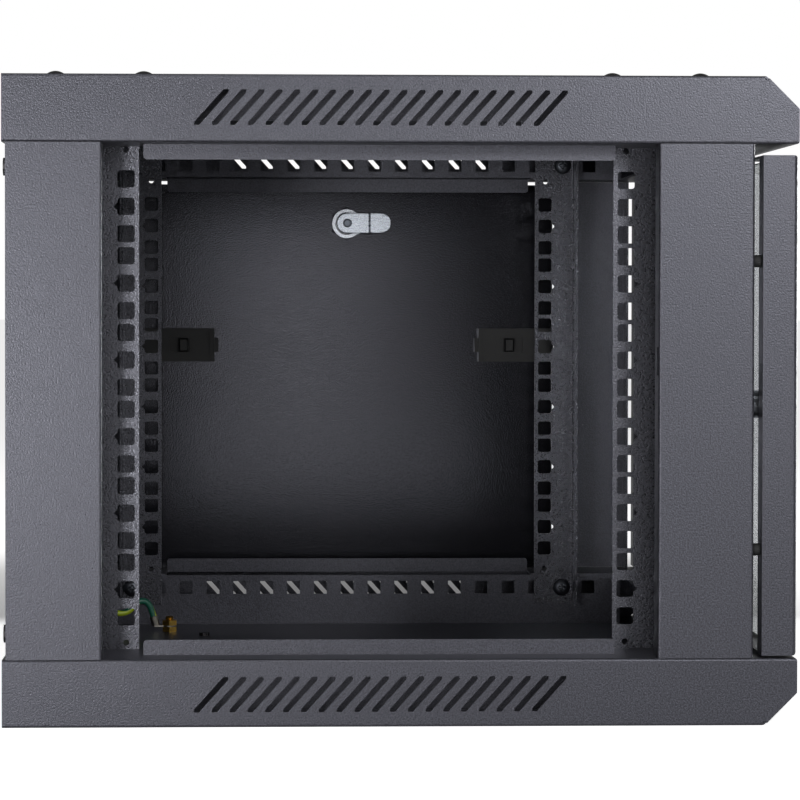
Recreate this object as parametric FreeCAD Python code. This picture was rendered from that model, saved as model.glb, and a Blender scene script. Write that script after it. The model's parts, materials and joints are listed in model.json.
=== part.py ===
import FreeCAD, Part
import math
import os

# Wall mount network cabinet, 6 units high. Millimetres, +Z up.
# X runs across the front (left -X, right +X), Y runs from the door (-Y) to the wall (+Y).
# The origin is the centre of the footprint, on the surface the cabinet stands on.

V = FreeCAD.Vector

# overall
width = 600.0
depth = 450.0
sheet = 1.2
units = 6
unit_height = 44.45
unit_margin = 50.65
height = units * unit_height + 2 * unit_margin

# top and bottom caps
cap_height = 38.3
nose_chamfer = 18.5
front_rim_width = 35.0
rear_rim_width = 20.0
fold_radius = 1.5

# side opening, the shelf beside it and the hook lip that a side panel hangs behind
front_column_depth = 54.4
rear_column_depth = 52.8
column_front_setback = 25.2
back_recess = 2.1
shelf_depth = 24.0
lip_height = 8.7
lip_front_gap = 22.1
lip_rear_gap = 22.7
lip_corner_radius = 2.0
relief_radius = 1.3
relief_depth = 2.4

# vent slots in the cap side walls
vent_count = 20
vent_pitch = 10.06
vent_height = 20.0
vent_lean = 18.0
vent_width = 4.3
vent_base = 8.6
vent_tip_clip = 1.5

# columns
column_front_flange = 20.0
column_return = 16.0
column_hem = 8.0
rear_column_flange = 40.0

# depth rails
depth_rail_sheet = 1.5
depth_rail_inset = 54.7
depth_rail_foot = 40.0
depth_rail_head = 14.0
depth_hole_size = 9.5
depth_hole_pitch = 19.85
depth_hole_count = 18
depth_hole_rear = 171.4
depth_hole_height = 28.0

# rack rails
rail_sheet = 1.8
rail_web = 30.0
rail_margin = 75.0
rack_opening = width - 2 * rail_margin
rack_hole_offset = 7.55
rack_hole_size = 9.5
web_hole_size = 10.0
unit_hole_first = unit_height / 7
unit_hole_step = unit_height * 5 / 14
rail_web_hole_edge = 7.5
rail_end_gap = 14.6
rear_rail_screw_edge = 8.3
front_rail_screw_edge = 9.7
rail_gauge_hole = 3.6
rail_gauge_offset = 15.0
rail_gauge_drop = 2.0
unit_mark = 2.2
unit_mark_root = 0.1

# screws
head_sides = 12
rail_screw_radius = 3.0
rail_screw_head_radius = 6.25
rail_screw_head_height = 3.6
rail_screw_length = 9.0
cage_nut_size = 13.0
cage_nut_height = 5.0
cage_neck_play = 0.1
roof_bolt_radius = 3.0
roof_bolt_head_radius = 5.75
roof_bolt_head_height = 3.9
roof_bolt_length = 9.0
roof_nut_flats = 10.0
roof_nut_height = 5.0
roof_bolt_inset = 25.0
roof_bolt_places = (196.0, 146.0, -121.5, -172.0)
back_bolt_radius = 2.5
back_bolt_head_radius = 5.0
back_bolt_head_height = 2.0
back_bolt_inset = 15.0
back_bolt_end_gap = 13.5
back_bolt_length = 6.0
bolt_clearance = 0.05

# wall fixing holes
wall_hole_spacing_x = 500.0
wall_hole_spacing_z = 200.0
wall_hole_radius = 5.0

# cable entries and fan guard
entry_length = 300.0
entry_width = 60.0
entry_rear_gap = 78.0
plate_overlap = 12.0
plate_screw_radius = 2.0
plate_screw_head_radius = 3.6
plate_screw_head_height = 2.2
plate_screw_length = 4.0
floor_screw_lift = 0.3
fan_opening_radius = 57.0
fan_hole_spacing = 105.0
fan_plate_size = 124.0
fan_y = -40.0
guard_slot_width = 5.0
guard_pitch = 9.0
guard_bridge = 6.0
guard_edge = 3.0

# door
door_thickness = 19.8
door_front_setback = 0.6
door_bottom_gap = 1.4
door_top_gap = 6.3
stile_width = 72.0
stile_return = 15.0
stile_end_plate = 60.0
stile_fold_radius = 2.4
glass_thickness = 4.0
glass_overlap = 11.0
bumper_radius = 3.5
bumper_inset = 8.0
bumper_offset = 82.0
bumper_door_gap = 0.3

# door hinge pins
hinge_inset = 10.0
hinge_pin_radius = 3.0
hinge_pin_clearance = 0.05
hinge_pin_reach = 4.6
hinge_collar_radius = 5.0
hinge_collar_height = 2.0
collar_play = 0.3
upper_pin_length = 40.0
pin_bracket_drop = 30.0
pin_bracket_width = 22.0
pin_bracket_foot = 8.0

# cam locks
lock_sides = 24
lock_barrel_radius = 8.0
lock_bore_radius = 5.05
lock_plug_radius = 5.0
lock_rim_radius = 10.0
lock_rim_height = 1.8
lock_nut_flats = 19.0
lock_nut_height = 5.0
plug_recess = 0.2
cam_width = 15.0
cam_thickness = 2.0
cam_gap = 0.5
cam_tip_radius = 2.5
cam_screw_depth = 4.0
cam_catch_gap = 0.5
key_slot_length = 6.0
key_slot_width = 1.6
key_slot_depth = 1.5
cam_screw_head_radius = 3.25
cam_screw_head_height = 1.6
cam_screw_radius = 1.5

door_lock_inset = 30.0
door_cam_reach = 24.0
side_lock_drop = 70.0
side_lock_length = 21.5
side_cam_reach = 32.0
side_cam_joggle = 3.5
side_cam_bend = 15.0
side_cam_bend_run = 3.5

# side panel and its slide latches
panel_gap = 1.2
panel_base_gap = 0.3
panel_top_gap = 2.6
panel_flange = 11.0
latch_rise = 22.6
latch_height = 25.0
latch_length = 54.0
latch_depth = 7.5
latch_wall = 1.6
latch_end_inset = 3.0
latch_rib = 3.7
latch_rib_rise = 1.6
latch_tab_length = 2.9
latch_tab_height = 10.5
latch_tab_step = 2.0
latch_bolt_height = 14.0
latch_bolt_thickness = 4.6
latch_bolt_gap = 0.7
latch_bolt_rear_gap = 1.5
latch_button_chamfer = 1.0
latch_window_play = 1.0
latch_fit = 0.35
latch_travel = 6.0
latch_button_length = 7.0
latch_button_height = 10.0
latch_button_rise = 3.2
latch_button_inset = 34.5
strike_clearance = 1.0

# earth studs on the floor and the back panel, and the wire between them
stud_x = 195.0
stud_y = 142.6
back_stud_x = 188.6
back_stud_z = 98.0
stud_radius = 3.0
stud_sides = 12
stud_length = 17.0
stud_nut_flats = 10.0
stud_nut_height = 3.6
terminal_thickness = 1.0
terminal_radius = 5.4
terminal_barrel_radius = 2.9
terminal_barrel_length = 6.5
terminal_neck = 0.4
stud_recess = 1.0
stud_lift = 0.2
wire_radius = 2.25
wire_sides = 6
earth_route = [
    (193.8, 154.2, 12.4), (193.4, 156.0, 19.0), (192.4, 159.8, 23.6), (191.2, 165.0, 23.4), (190.2, 169.0, 18.8),
    (189.4, 173.4, 15.4), (188.2, 179.4, 14.8), (187.0, 187.2, 17.6), (186.2, 194.6, 24.0), (186.3, 199.9, 33.2),
    (187.0, 203.4, 44.0), (188.0, 207.2, 57.0), (188.6, 211.5, 69.0), (188.6, 213.9, 81.0),
]

# derived places
half_w = width / 2
half_d = depth / 2
mid_z = height / 2
shelf_z = cap_height
shelf_top_z = height - cap_height
front_y = -half_d
column_front_y = -half_d + column_front_setback
opening_front_y = column_front_y + front_column_depth
back_y = half_d - back_recess
column_back_y = back_y - sheet
opening_rear_y = column_back_y - rear_column_depth
opening_mid_y = (opening_front_y + opening_rear_y) / 2
rail_outer_x = half_w - depth_rail_inset
lip_front_y = opening_front_y + lip_front_gap
lip_rear_y = opening_rear_y - lip_rear_gap
depth_hole_ys = [depth_hole_rear - depth_hole_pitch * i for i in range(depth_hole_count)]
rear_screw_y = depth_hole_ys[0]
front_screw_y = depth_hole_ys[-2]
front_rail_y = front_screw_y - front_rail_screw_edge
rear_rail_y = rear_screw_y + rear_rail_screw_edge
rack_hole_x = rack_opening / 2 + rack_hole_offset
rail_low_z = sheet + rail_end_gap
rail_high_z = height - rail_low_z
units_low_z = mid_z - units * unit_height / 2
side_lock_z = height - side_lock_drop
latch_z = mid_z + latch_rise
door_front_y = front_y + door_front_setback
door_back_y = door_front_y + door_thickness
door_low_z = shelf_z + door_bottom_gap
door_high_z = shelf_top_z - door_top_gap
door_mid_z = (door_low_z + door_high_z) / 2
door_lock_length = column_front_y + sheet + cam_catch_gap - cam_gap - door_front_y
hinge_x = half_w - hinge_inset
hinge_y = (door_front_y + door_back_y) / 2
glass_half = half_w - stile_width + glass_overlap
panel_outer_x = half_w
panel_inner_x = half_w - sheet
strike_inner_x = panel_inner_x - latch_fit - latch_bolt_thickness - strike_clearance
panel_low_z = shelf_z + panel_base_gap
panel_high_z = shelf_top_z - panel_top_gap
panel_front_y = opening_front_y + panel_gap
panel_rear_y = opening_rear_y - panel_gap


def block(x0, x1, y0, y1, z0, z1):
    return Part.makeBox(x1 - x0, y1 - y0, z1 - z0, V(x0, y0, z0))


def prism(points, run):
    return Part.Face(Part.makePolygon(points + points[:1])).extrude(run)


def rounded_prism(points, radius, run):
    """A prism whose outline turns every corner with an arc."""
    edges = []
    arcs = []
    for i, corner in enumerate(points):
        back = (points[i - 1] - corner).normalize()
        ahead = (points[(i + 1) % len(points)] - corner).normalize()
        half = back.getAngle(ahead) / 2
        reach = radius / math.tan(half)
        inward = (back + ahead).normalize()
        middle = corner + inward * (radius / math.sin(half) - radius)
        arcs.append((corner + back * reach, middle, corner + ahead * reach))
    for i, (start, middle, end) in enumerate(arcs):
        edges.append(Part.Arc(start, middle, end).toShape())
        edges.append(Part.LineSegment(end, arcs[(i + 1) % len(arcs)][0]).toShape())
    return Part.Face(Part.Wire(edges)).extrude(run)


def rod(radius, start, run):
    return Part.makeCylinder(radius, run.Length, start, run)


def bar(radius, start, run, sides=8):
    """A many sided small screw shank or head, or the hole for one: the radius is that of its flats."""
    side = V(0, 0, 1) if abs(run.z) < 1e-6 else V(1, 0, 0)
    side = FreeCAD.Rotation(run, 180 / sides).multVec(side) * (radius / math.cos(math.pi / sides))
    turn = FreeCAD.Rotation(run, 360 / sides)
    points = []
    for _ in range(sides):
        points.append(start + side)
        side = turn.multVec(side)
    return prism(points, run)


def joined(shapes):
    return shapes[0].multiFuse(shapes[1:]).removeSplitter()


def left_right(shape):
    return shape.mirror(V(0, 0, 0), V(1, 0, 0))


def top_bottom(shape):
    return shape.mirror(V(0, 0, mid_z), V(0, 0, 1))


def hexagon(flats, base, run):
    """A hexagon prism whose points lie up and down across the run."""
    corner = flats / math.sqrt(3)
    side = V(0, 0, 1) if abs(run.z) < 1e-6 else V(1, 0, 0)
    turn = FreeCAD.Rotation(run, 60)
    points = []
    for _ in range(6):
        points.append(base + side * corner)
        side = turn.multVec(side)
    return prism(points, run)


def slot_yz(y_mid, z_low, lean, x0, x1):
    """One leaning vent slot cut along X, rising from z_low, with its two sharp tips clipped square."""
    side = math.copysign(1, lean)
    h = side * vent_width / 2
    clip_y = side * vent_tip_clip
    clip_z = vent_tip_clip * vent_height / abs(lean)
    foot, head = y_mid - lean / 2, y_mid + lean / 2
    z_high = z_low + vent_height
    outline = [
        (foot - h + clip_y, z_low), (foot + h, z_low),
        (head + h - clip_y, z_high - clip_z), (head + h - clip_y, z_high),
        (head - h, z_high), (foot - h + clip_y, z_low + clip_z),
    ]
    return prism([V(x0, y, z) for y, z in outline], V(x1 - x0, 0, 0))


def vent_rows(z_low, left_lean):
    """The slots of both side walls; the right row leans against the left one."""
    cuts = []
    for i in range(vent_count):
        y = opening_mid_y + (i - (vent_count - 1) / 2) * vent_pitch
        cuts.append(slot_yz(y, z_low, left_lean, -half_w - sheet, -half_w + 2 * sheet))
        cuts.append(slot_yz(y, z_low, -left_lean, half_w - 2 * sheet, half_w + sheet))
    return cuts


def nose_profile(x, inset):
    """Outline of a cap seen from its side, set in from the outer faces."""
    cut = inset * (math.sqrt(2) - 1)
    return [
        V(x, half_d - inset, inset),
        V(x, half_d - inset, cap_height - inset),
        V(x, -half_d + inset, cap_height - inset),
        V(x, -half_d + inset, nose_chamfer + cut),
        V(x, -half_d + nose_chamfer + cut, inset),
    ]


def hook_lip(side):
    """The lip that stands at the inner edge of the shelf."""
    x = side * (half_w - shelf_depth)
    x_in = x - side * sheet
    outline = [
        V(x_in, lip_front_y, shelf_z - sheet),
        V(x_in, lip_rear_y, shelf_z - sheet),
        V(x_in, lip_rear_y, shelf_z + lip_height),
        V(x_in, lip_front_y, shelf_z + lip_height),
    ]
    lip = prism(outline, V(side * sheet, 0, 0))
    tips = [e for e in lip.Edges if e.BoundBox.XLength > sheet / 2 and e.CenterOfMass.z > shelf_z + lip_height / 2]
    return lip.makeFillet(lip_corner_radius, tips)


def cap():
    """A bottom cap with no holes; the top one is its mirror image."""
    outer = prism(nose_profile(-half_w, 0), V(width, 0, 0))
    folds = [e for e in outer.Edges if e.BoundBox.ZLength < 0.01 and e.CenterOfMass.y < half_d - sheet]
    outer = outer.makeFillet(fold_radius, folds)
    inner = prism(nose_profile(-half_w + sheet, sheet), V(width - 2 * sheet, 0, 0))
    shell = outer.cut(inner)
    above = shelf_z + sheet
    below = shelf_z - 1.5 * sheet
    front, rear = -half_d + front_rim_width, half_d - rear_rim_width
    shell = shell.cut(block(-rail_outer_x, rail_outer_x, front, rear, below, above))
    lip_x = half_w - shelf_depth
    shell = shell.cut(block(-lip_x, lip_x, lip_front_y, lip_rear_y, below, above))
    shell = joined([shell, hook_lip(1), hook_lip(-1)])
    return shell.cut([bar(relief_radius, V(side * half_w, -half_d + nose_chamfer, sheet), V(-side * relief_depth, 0, 0))
                      for side in (-1, 1)])


def rim_slab():
    """The layer of a bottom cap that holds its rim and hook lips."""
    reach = width + depth
    return block(-reach, reach, -reach, reach, shelf_z - sheet, shelf_z + 2 * lip_height)


def entry_cut(z0, z1):
    y1 = half_d - entry_rear_gap
    return block(-entry_length / 2, entry_length / 2, y1 - entry_width, y1, z0, z1)


def entry_screw_places():
    y = half_d - entry_rear_gap - entry_width / 2
    x = entry_length / 2 + plate_overlap / 2
    return [(-x, y), (x, y)]


def entry_plate():
    y1 = half_d - entry_rear_gap + plate_overlap
    y0 = half_d - entry_rear_gap - entry_width - plate_overlap
    x = entry_length / 2 + plate_overlap
    plate = block(-x, x, y0, y1, sheet, 2 * sheet)
    holes = [bar(plate_screw_radius + bolt_clearance, V(px, py, 0), V(0, 0, 3 * sheet)) for px, py in entry_screw_places()]
    return plate.cut(holes)


def screw(base, out, head_radius, head_height, shank_radius, shank_length):
    """A screw whose head sits on base and points along out; its shank goes the other way."""
    head = bar(head_radius, base, out * head_height, head_sides)
    return joined([head, bar(shank_radius, base, out * -shank_length)])


def plate_screw(x, y, z, length):
    return screw(V(x, y, z), V(0, 0, 1), plate_screw_head_radius, plate_screw_head_height, plate_screw_radius, length)


def bottom_cap():
    shell = cap().cut(vent_rows(vent_base, -vent_lean) + [entry_cut(-sheet, 2 * sheet)])
    holes = [bar(plate_screw_radius + bolt_clearance, V(x, y, -sheet), V(0, 0, 3 * sheet)) for x, y in entry_screw_places()]
    holes.append(bar(stud_radius + bolt_clearance, V(stud_x, stud_y, -sheet), V(0, 0, 3 * sheet), stud_sides))
    holes.append(rod(hinge_pin_radius + hinge_pin_clearance, V(hinge_x, hinge_y, cap_height - 2 * sheet), V(0, 0, 3 * sheet)))
    return shell.cut(holes)


def roof_bolt_points():
    return [(side * (half_w - roof_bolt_inset), y) for side in (-1, 1) for y in roof_bolt_places]


def fan_hole_points():
    r = fan_hole_spacing / 2
    return [(sx * r, fan_y + sy * r) for sx in (-1, 1) for sy in (-1, 1)]


def top_cap():
    shell = top_bottom(cap()).cut(vent_rows(height - vent_base - vent_height, -vent_lean))
    shell = shell.cut([top_bottom(entry_cut(-sheet, 2 * sheet))])
    roof = height - 2 * sheet
    through = V(0, 0, 3 * sheet)
    holes = [bar(roof_bolt_radius + bolt_clearance, V(x, y, roof), through) for x, y in roof_bolt_points()]
    small = entry_screw_places() + fan_hole_points()
    holes += [bar(plate_screw_radius + bolt_clearance, V(x, y, roof), through) for x, y in small]
    holes.append(rod(fan_opening_radius, V(0, fan_y, roof), through))
    pin = V(hinge_x, hinge_y, height - cap_height - sheet)
    holes.append(rod(hinge_pin_radius + hinge_pin_clearance, pin, V(0, 0, 3 * sheet)))
    return shell.cut(holes)


def fan_guard():
    """A square plate under the roof, with rows of slots that end at the edge of the fan opening."""
    s = fan_plate_size / 2
    z = height - 2 * sheet
    plate = block(-s, s, fan_y - s, fan_y + s, z, z + sheet)
    holes = [bar(plate_screw_radius + bolt_clearance, V(x, y, z - sheet), V(0, 0, 3 * sheet)) for x, y in fan_hole_points()]
    reach = fan_opening_radius - guard_edge
    rows = int((reach - guard_slot_width) / guard_pitch)
    for i in range(-rows, rows + 1):
        y = i * guard_pitch
        x = math.sqrt(reach * reach - (abs(y) + guard_slot_width / 2) ** 2)
        for side in (-1, 1):
            xa, xb = sorted((side * guard_bridge / 2, side * x))
            if xb - xa > guard_bridge:
                holes.append(block(xa, xb, fan_y + y - guard_slot_width / 2, fan_y + y + guard_slot_width / 2, z - sheet, z + 2 * sheet))
    return plate.cut(holes)


def front_column():
    """Left front column: side web, front flange and a hemmed return beside the opening."""
    x = -half_w
    y0, y1 = column_front_y, opening_front_y
    web = block(x, x + sheet, y0, y1, shelf_z, shelf_top_z)
    flange = block(x, x + column_front_flange, y0, y0 + sheet, shelf_z, shelf_top_z)
    inward = block(x, x + column_return, y1 - sheet, y1, shelf_z, shelf_top_z)
    hem = block(x + column_return - sheet, x + column_return, y1 - column_hem, y1, shelf_z, shelf_top_z)
    column = joined([web, flange, inward, hem])
    corners = vertical_edges(column, [(x, y0), (x, y1)])
    column = column.makeFillet(fold_radius, corners)
    return column.cut(strike_slot(y1 - sheet / 2))


def jamb_space(y_edge, y_hem):
    """Space of the return and hem beside the side opening, inside the web of a left column."""
    ya, yb = sorted((y_edge, y_hem))
    return block(-half_w + sheet, 0, ya - sheet, yb + sheet, 0, height)


def jamb(column, space):
    """Return and hem of a left column, with the edge above and below the latch slot as strips of their own."""
    whole = column.common(space)
    edge = block(-half_w, -strike_inner_x, -half_d, half_d, 0, height)
    return Part.makeCompound(whole.cut(edge).Solids + whole.common(edge).Solids)


def vertical_edges(shape, places):
    found = []
    for e in shape.Edges:
        c = e.CenterOfMass
        if e.BoundBox.ZLength > sheet / 2 and e.BoundBox.XLength < 0.01 and e.BoundBox.YLength < 0.01:
            if any(abs(c.x - x) < 0.01 and abs(c.y - y) < 0.01 for x, y in places):
                found.append(e)
    return found


def strike_slot(y_mid):
    """The slot in a column's return that a latch slider enters; given on the left side."""
    z = latch_bolt_height / 2 + strike_clearance
    return block(-half_w + sheet, -strike_inner_x, y_mid - sheet, y_mid + sheet, latch_z - z, latch_z + z)


def rear_column():
    """Left rear column: side web, wall side flange and a hemmed return beside the opening."""
    x = -half_w
    y0, y1 = opening_rear_y, column_back_y
    web = block(x, x + sheet, y0, y1, shelf_z, shelf_top_z)
    flange = block(x, x + rear_column_flange, y1 - sheet, y1, shelf_z, shelf_top_z)
    inward = block(x, x + column_return, y0, y0 + sheet, shelf_z, shelf_top_z)
    hem = block(x + column_return - sheet, x + column_return, y0, y0 + column_hem, shelf_z, shelf_top_z)
    column = joined([web, flange, inward, hem])
    column = column.makeFillet(fold_radius, vertical_edges(column, [(x, y0)]))
    holes = [bar(back_bolt_radius + bolt_clearance, V(bx, y1 - 2 * sheet, z), V(0, 3 * sheet, 0))
             for bx, z in back_bolt_points() if bx < 0]
    return column.cut(holes + [strike_slot(y0 + sheet / 2)])


def back_bolt_points():
    xs = (-half_w + back_bolt_inset, half_w - back_bolt_inset)
    return [(x, z) for x in xs for z in (shelf_z + back_bolt_end_gap, shelf_top_z - back_bolt_end_gap)]


def back_panel():
    panel = block(-half_w, half_w, column_back_y, back_y, shelf_z, shelf_top_z)
    through = V(0, 3 * sheet, 0)
    start = column_back_y - sheet
    holes = [rod(wall_hole_radius, V(sx * wall_hole_spacing_x / 2, start, mid_z + sz * wall_hole_spacing_z / 2), through)
             for sx in (-1, 1) for sz in (-1, 1)]
    holes += [bar(back_bolt_radius + bolt_clearance, V(x, start, z), through) for x, z in back_bolt_points()]
    holes.append(bar(stud_radius + bolt_clearance, V(back_stud_x, start, back_stud_z), through, stud_sides))
    return panel.cut(holes)


def square_hole(centre, size, across, along, run):
    """A square cut, its sides along the two directions, pushed along run."""
    h = size / 2
    return prism([centre - across * h - along * h, centre + across * h - along * h,
                  centre + across * h + along * h, centre - across * h + along * h], run)


def depth_rail():
    """Bottom left depth rail: a channel between floor and shelf with a row of square holes."""
    x = -rail_outer_x
    y0, y1 = -half_d + front_rim_width, half_d - rear_rim_width
    wall = block(x - depth_rail_sheet, x, y0, y1, sheet, shelf_z - sheet)
    foot = block(x - depth_rail_foot, x, y0, y1, sheet, sheet + depth_rail_sheet)
    heads = [block(x - depth_rail_head, x, ya, yb, shelf_z - sheet - depth_rail_sheet, shelf_z - sheet)
             for ya, yb in ((y0, lip_front_y), (lip_rear_y, y1))]
    rail = joined([wall, foot] + heads)
    cuts = [square_hole(V(x - 2 * depth_rail_sheet, y, depth_hole_height), depth_hole_size, V(0, 1, 0), V(0, 0, 1),
                        V(3 * depth_rail_sheet, 0, 0)) for y in depth_hole_ys]
    return rail.cut(cuts)


def roof_depth_rail():
    """Top left depth rail, with the holes of the roof bolts through its foot."""
    rail = top_bottom(depth_rail())
    z = height - sheet - 2 * depth_rail_sheet
    holes = [bar(roof_bolt_radius + bolt_clearance, V(x, y, z), V(0, 0, 3 * depth_rail_sheet))
             for x, y in roof_bolt_points() if x < 0]
    return rail.cut(holes)


def unit_hole_heights():
    """Centres of the three holes of each unit, from the lowest up."""
    return [(units_low_z + u * unit_height + unit_hole_first + n * unit_hole_step, n)
            for u in range(units) for n in range(3)]


def rack_rail(y_face, inward, screw_edge):
    """Left rack rail: y_face is its equipment face, inward the way its web runs (+1 or -1 in Y)."""
    x = -rail_outer_x
    ya, yb = sorted((y_face, y_face + inward * rail_web))
    web = block(x, x + rail_sheet, ya, yb, rail_low_z, rail_high_z)
    fa, fb = sorted((y_face, y_face + inward * rail_sheet))
    flange = block(x, -rack_opening / 2, fa, fb, rail_low_z, rail_high_z)
    rail = joined([web, flange])
    rail = rail.makeFillet(fold_radius, vertical_edges(rail, [(x, y_face)]))
    web_y = y_face + inward * (rail_web - rail_web_hole_edge)
    cuts = []
    for z, n in unit_hole_heights():
        cuts.append(square_hole(V(-rack_hole_x, y_face - 2 * rail_sheet, z), rack_hole_size,
                                V(1, 0, 0), V(0, 0, 1), V(0, 4 * rail_sheet, 0)))
        cuts.append(square_hole(V(x - rail_sheet, web_y, z), web_hole_size,
                                V(0, 1, 0), V(0, 0, 1), V(3 * rail_sheet, 0, 0)))
        if n == 1:
            side = web_y - inward * web_hole_size / 2
            root = side + inward * unit_mark_root
            mark = [V(x - rail_sheet, root, z - unit_mark), V(x - rail_sheet, root, z + unit_mark),
                    V(x - rail_sheet, side - inward * unit_mark, z)]
            cuts.append(prism(mark, V(3 * rail_sheet, 0, 0)))
    end_step = unit_hole_first - rail_gauge_offset
    ends = (units_low_z + end_step, height - units_low_z - end_step + rail_gauge_drop)
    cuts += [bar(rail_gauge_hole / 2, V(x - rail_sheet, web_y, z), V(3 * rail_sheet, 0, 0)) for z in ends]
    screw_y = y_face + inward * screw_edge
    for z in (depth_hole_height, height - depth_hole_height):
        cuts.append(bar(rail_screw_radius + bolt_clearance, V(x - rail_sheet, screw_y, z), V(3 * rail_sheet, 0, 0)))
    return rail.cut(cuts)


def rail_screws():
    """Screws that hold the rack rails to the depth rails, heads on the inner side."""
    bodies = []
    for side in (-1, 1):
        for y in (front_screw_y, rear_screw_y):
            for z in (depth_hole_height, height - depth_hole_height):
                base = V(side * (rail_outer_x - rail_sheet), y, z)
                out = V(-side, 0, 0)
                bodies.append(screw(base, out, rail_screw_head_radius, rail_screw_head_height,
                                    rail_screw_radius, rail_screw_length))
    return Part.makeCompound(bodies)


def rail_cage_nuts():
    """Square nuts whose shoulders sit in the holes of the depth rails."""
    bodies = []
    for side in (-1, 1):
        for y in (front_screw_y, rear_screw_y):
            for z in (depth_hole_height, height - depth_hole_height):
                centre = V(side * rail_outer_x, y, z)
                across, along = V(0, 1, 0), V(0, 0, 1)
                neck_size = depth_hole_size - 2 * cage_neck_play
                neck = square_hole(centre, neck_size, across, along, V(side * depth_rail_sheet, 0, 0))
                seat = centre + V(side * depth_rail_sheet, 0, 0)
                nut = square_hole(seat, cage_nut_size, across, along, V(side * cage_nut_height, 0, 0))
                bore = bar(rail_screw_radius + bolt_clearance, centre, V(side * 2 * cage_nut_height, 0, 0))
                bodies.append(joined([neck, nut]).cut(bore))
    return Part.makeCompound(bodies)


def roof_bolts():
    return Part.makeCompound([
        screw(V(x, y, height), V(0, 0, 1), roof_bolt_head_radius, roof_bolt_head_height, roof_bolt_radius, roof_bolt_length)
        for x, y in roof_bolt_points()])


def roof_nuts():
    bodies = []
    for x, y in roof_bolt_points():
        seat = V(x, y, height - sheet - depth_rail_sheet)
        nut = hexagon(roof_nut_flats, seat, V(0, 0, -roof_nut_height))
        bodies.append(nut.cut(bar(roof_bolt_radius + bolt_clearance, seat, V(0, 0, -roof_nut_height))))
    return Part.makeCompound(bodies)


def back_bolts():
    return Part.makeCompound([
        screw(V(x, back_y, z), V(0, 1, 0), back_bolt_head_radius, back_bolt_head_height, back_bolt_radius, back_bolt_length)
        for x, z in back_bolt_points()])


def roof_plate_screws():
    places = entry_screw_places() + fan_hole_points()
    return Part.makeCompound([plate_screw(x, y, height, plate_screw_length) for x, y in places])


def floor_plate_screws():
    length = 2 * sheet - floor_screw_lift
    return Part.makeCompound([plate_screw(x, y, 2 * sheet, length) for x, y in entry_screw_places()])


def door_stile():
    """Left door stile: side skin, front face, rear return and two end plates."""
    x0 = -half_w
    y0, y1 = door_front_y, door_back_y
    skin = block(x0, x0 + sheet, y0, y1, door_low_z, door_high_z)
    face = block(x0, x0 + stile_width, y0, y0 + sheet, door_low_z, door_high_z)
    inward = block(x0, x0 + stile_return, y1 - sheet, y1, door_low_z, door_high_z)
    ends = [block(x0, x0 + stile_end_plate, y0, y1, z, z + sheet) for z in (door_low_z, door_high_z - sheet)]
    return joined([skin, face, inward] + ends)


def rounded_stile(stile):
    x0 = -half_w
    bend = vertical_edges(stile, [(x0, door_front_y)])
    tips = [e for e in stile.Edges
            if e.BoundBox.XLength > 1 and e.BoundBox.ZLength < 0.01 and e.CenterOfMass.y < door_front_y + 0.01
            and (e.CenterOfMass.z < door_low_z + 0.01 or e.CenterOfMass.z > door_high_z - 0.01)]
    stile = stile.makeFillet(stile_fold_radius, bend + tips)
    inner_bend = vertical_edges(stile, [(x0 + sheet, door_front_y + sheet)])
    return stile.makeFillet(stile_fold_radius - sheet, inner_bend)


def door_lock_stile():
    stile = rounded_stile(door_stile())
    centre = V(-half_w + door_lock_inset, door_front_y - sheet, door_mid_z)
    hole = bar(lock_barrel_radius + bolt_clearance, centre, V(0, 3 * sheet, 0), lock_sides)
    return stile.cut(hole)


def door_hinge_stile():
    stile = left_right(rounded_stile(door_stile()))
    through = V(0, 0, 3 * sheet)
    holes = [rod(hinge_pin_radius + hinge_pin_clearance, V(hinge_x, hinge_y, z), through)
             for z in (door_low_z - sheet, door_high_z - 2 * sheet)]
    return stile.cut(holes)


def door_glass():
    y = door_front_y + sheet
    glass = block(-glass_half, glass_half, y, y + glass_thickness, door_low_z, door_high_z)
    return glass


def door_bumpers():
    """Rubber bumpers on the column that the lock stile closes on."""
    bodies = []
    for side in (-1, 1):
        base = V(-half_w + bumper_inset, column_front_y, door_mid_z + side * bumper_offset)
        run = door_back_y + bumper_door_gap - column_front_y
        bodies.append(rod(bumper_radius, base, V(0, run, 0)))
    return Part.makeCompound(bodies)


def lower_hinge_pin():
    """Pin fixed in the door's bottom end plate, with a collar above the plate."""
    top = door_low_z + sheet
    shank = rod(hinge_pin_radius, V(hinge_x, hinge_y, top), V(0, 0, -(sheet + door_bottom_gap + hinge_pin_reach)))
    collar = rod(hinge_collar_radius, V(hinge_x, hinge_y, top), V(0, 0, hinge_collar_height))
    return joined([shank, collar])


def upper_hinge_pin():
    """Sprung pin that drops out of the top cap when its collar is pulled down."""
    tip = shelf_top_z + hinge_pin_reach
    length = upper_pin_length + pin_bracket_drop
    shank = rod(hinge_pin_radius, V(hinge_x, hinge_y, tip - length), V(0, 0, length))
    collar_z = door_high_z - sheet - collar_play - hinge_collar_height
    collar = rod(hinge_collar_radius, V(hinge_x, hinge_y, collar_z), V(0, 0, hinge_collar_height))
    return joined([shank, collar])


def pin_bracket():
    """Shelf welded inside the hinge stile that guides the sprung pin."""
    x1 = half_w - sheet
    x0, z0 = x1 - pin_bracket_width, door_high_z - sheet - pin_bracket_drop
    y0, y1 = door_front_y + sheet, door_back_y - sheet
    plate = block(x0, x1, y0, y1, z0, z0 + sheet)
    foot = block(x0, x1, y0, y0 + sheet, z0 - pin_bracket_foot, z0)
    hole = rod(hinge_pin_radius + hinge_pin_clearance, V(hinge_x, hinge_y, z0 - sheet), V(0, 0, 3 * sheet))
    bracket = joined([plate, foot])
    bracket = bracket.makeFillet(stile_fold_radius - sheet, vertical_edges(bracket, [(x1, y0)]))
    return bracket.cut(hole)


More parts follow.
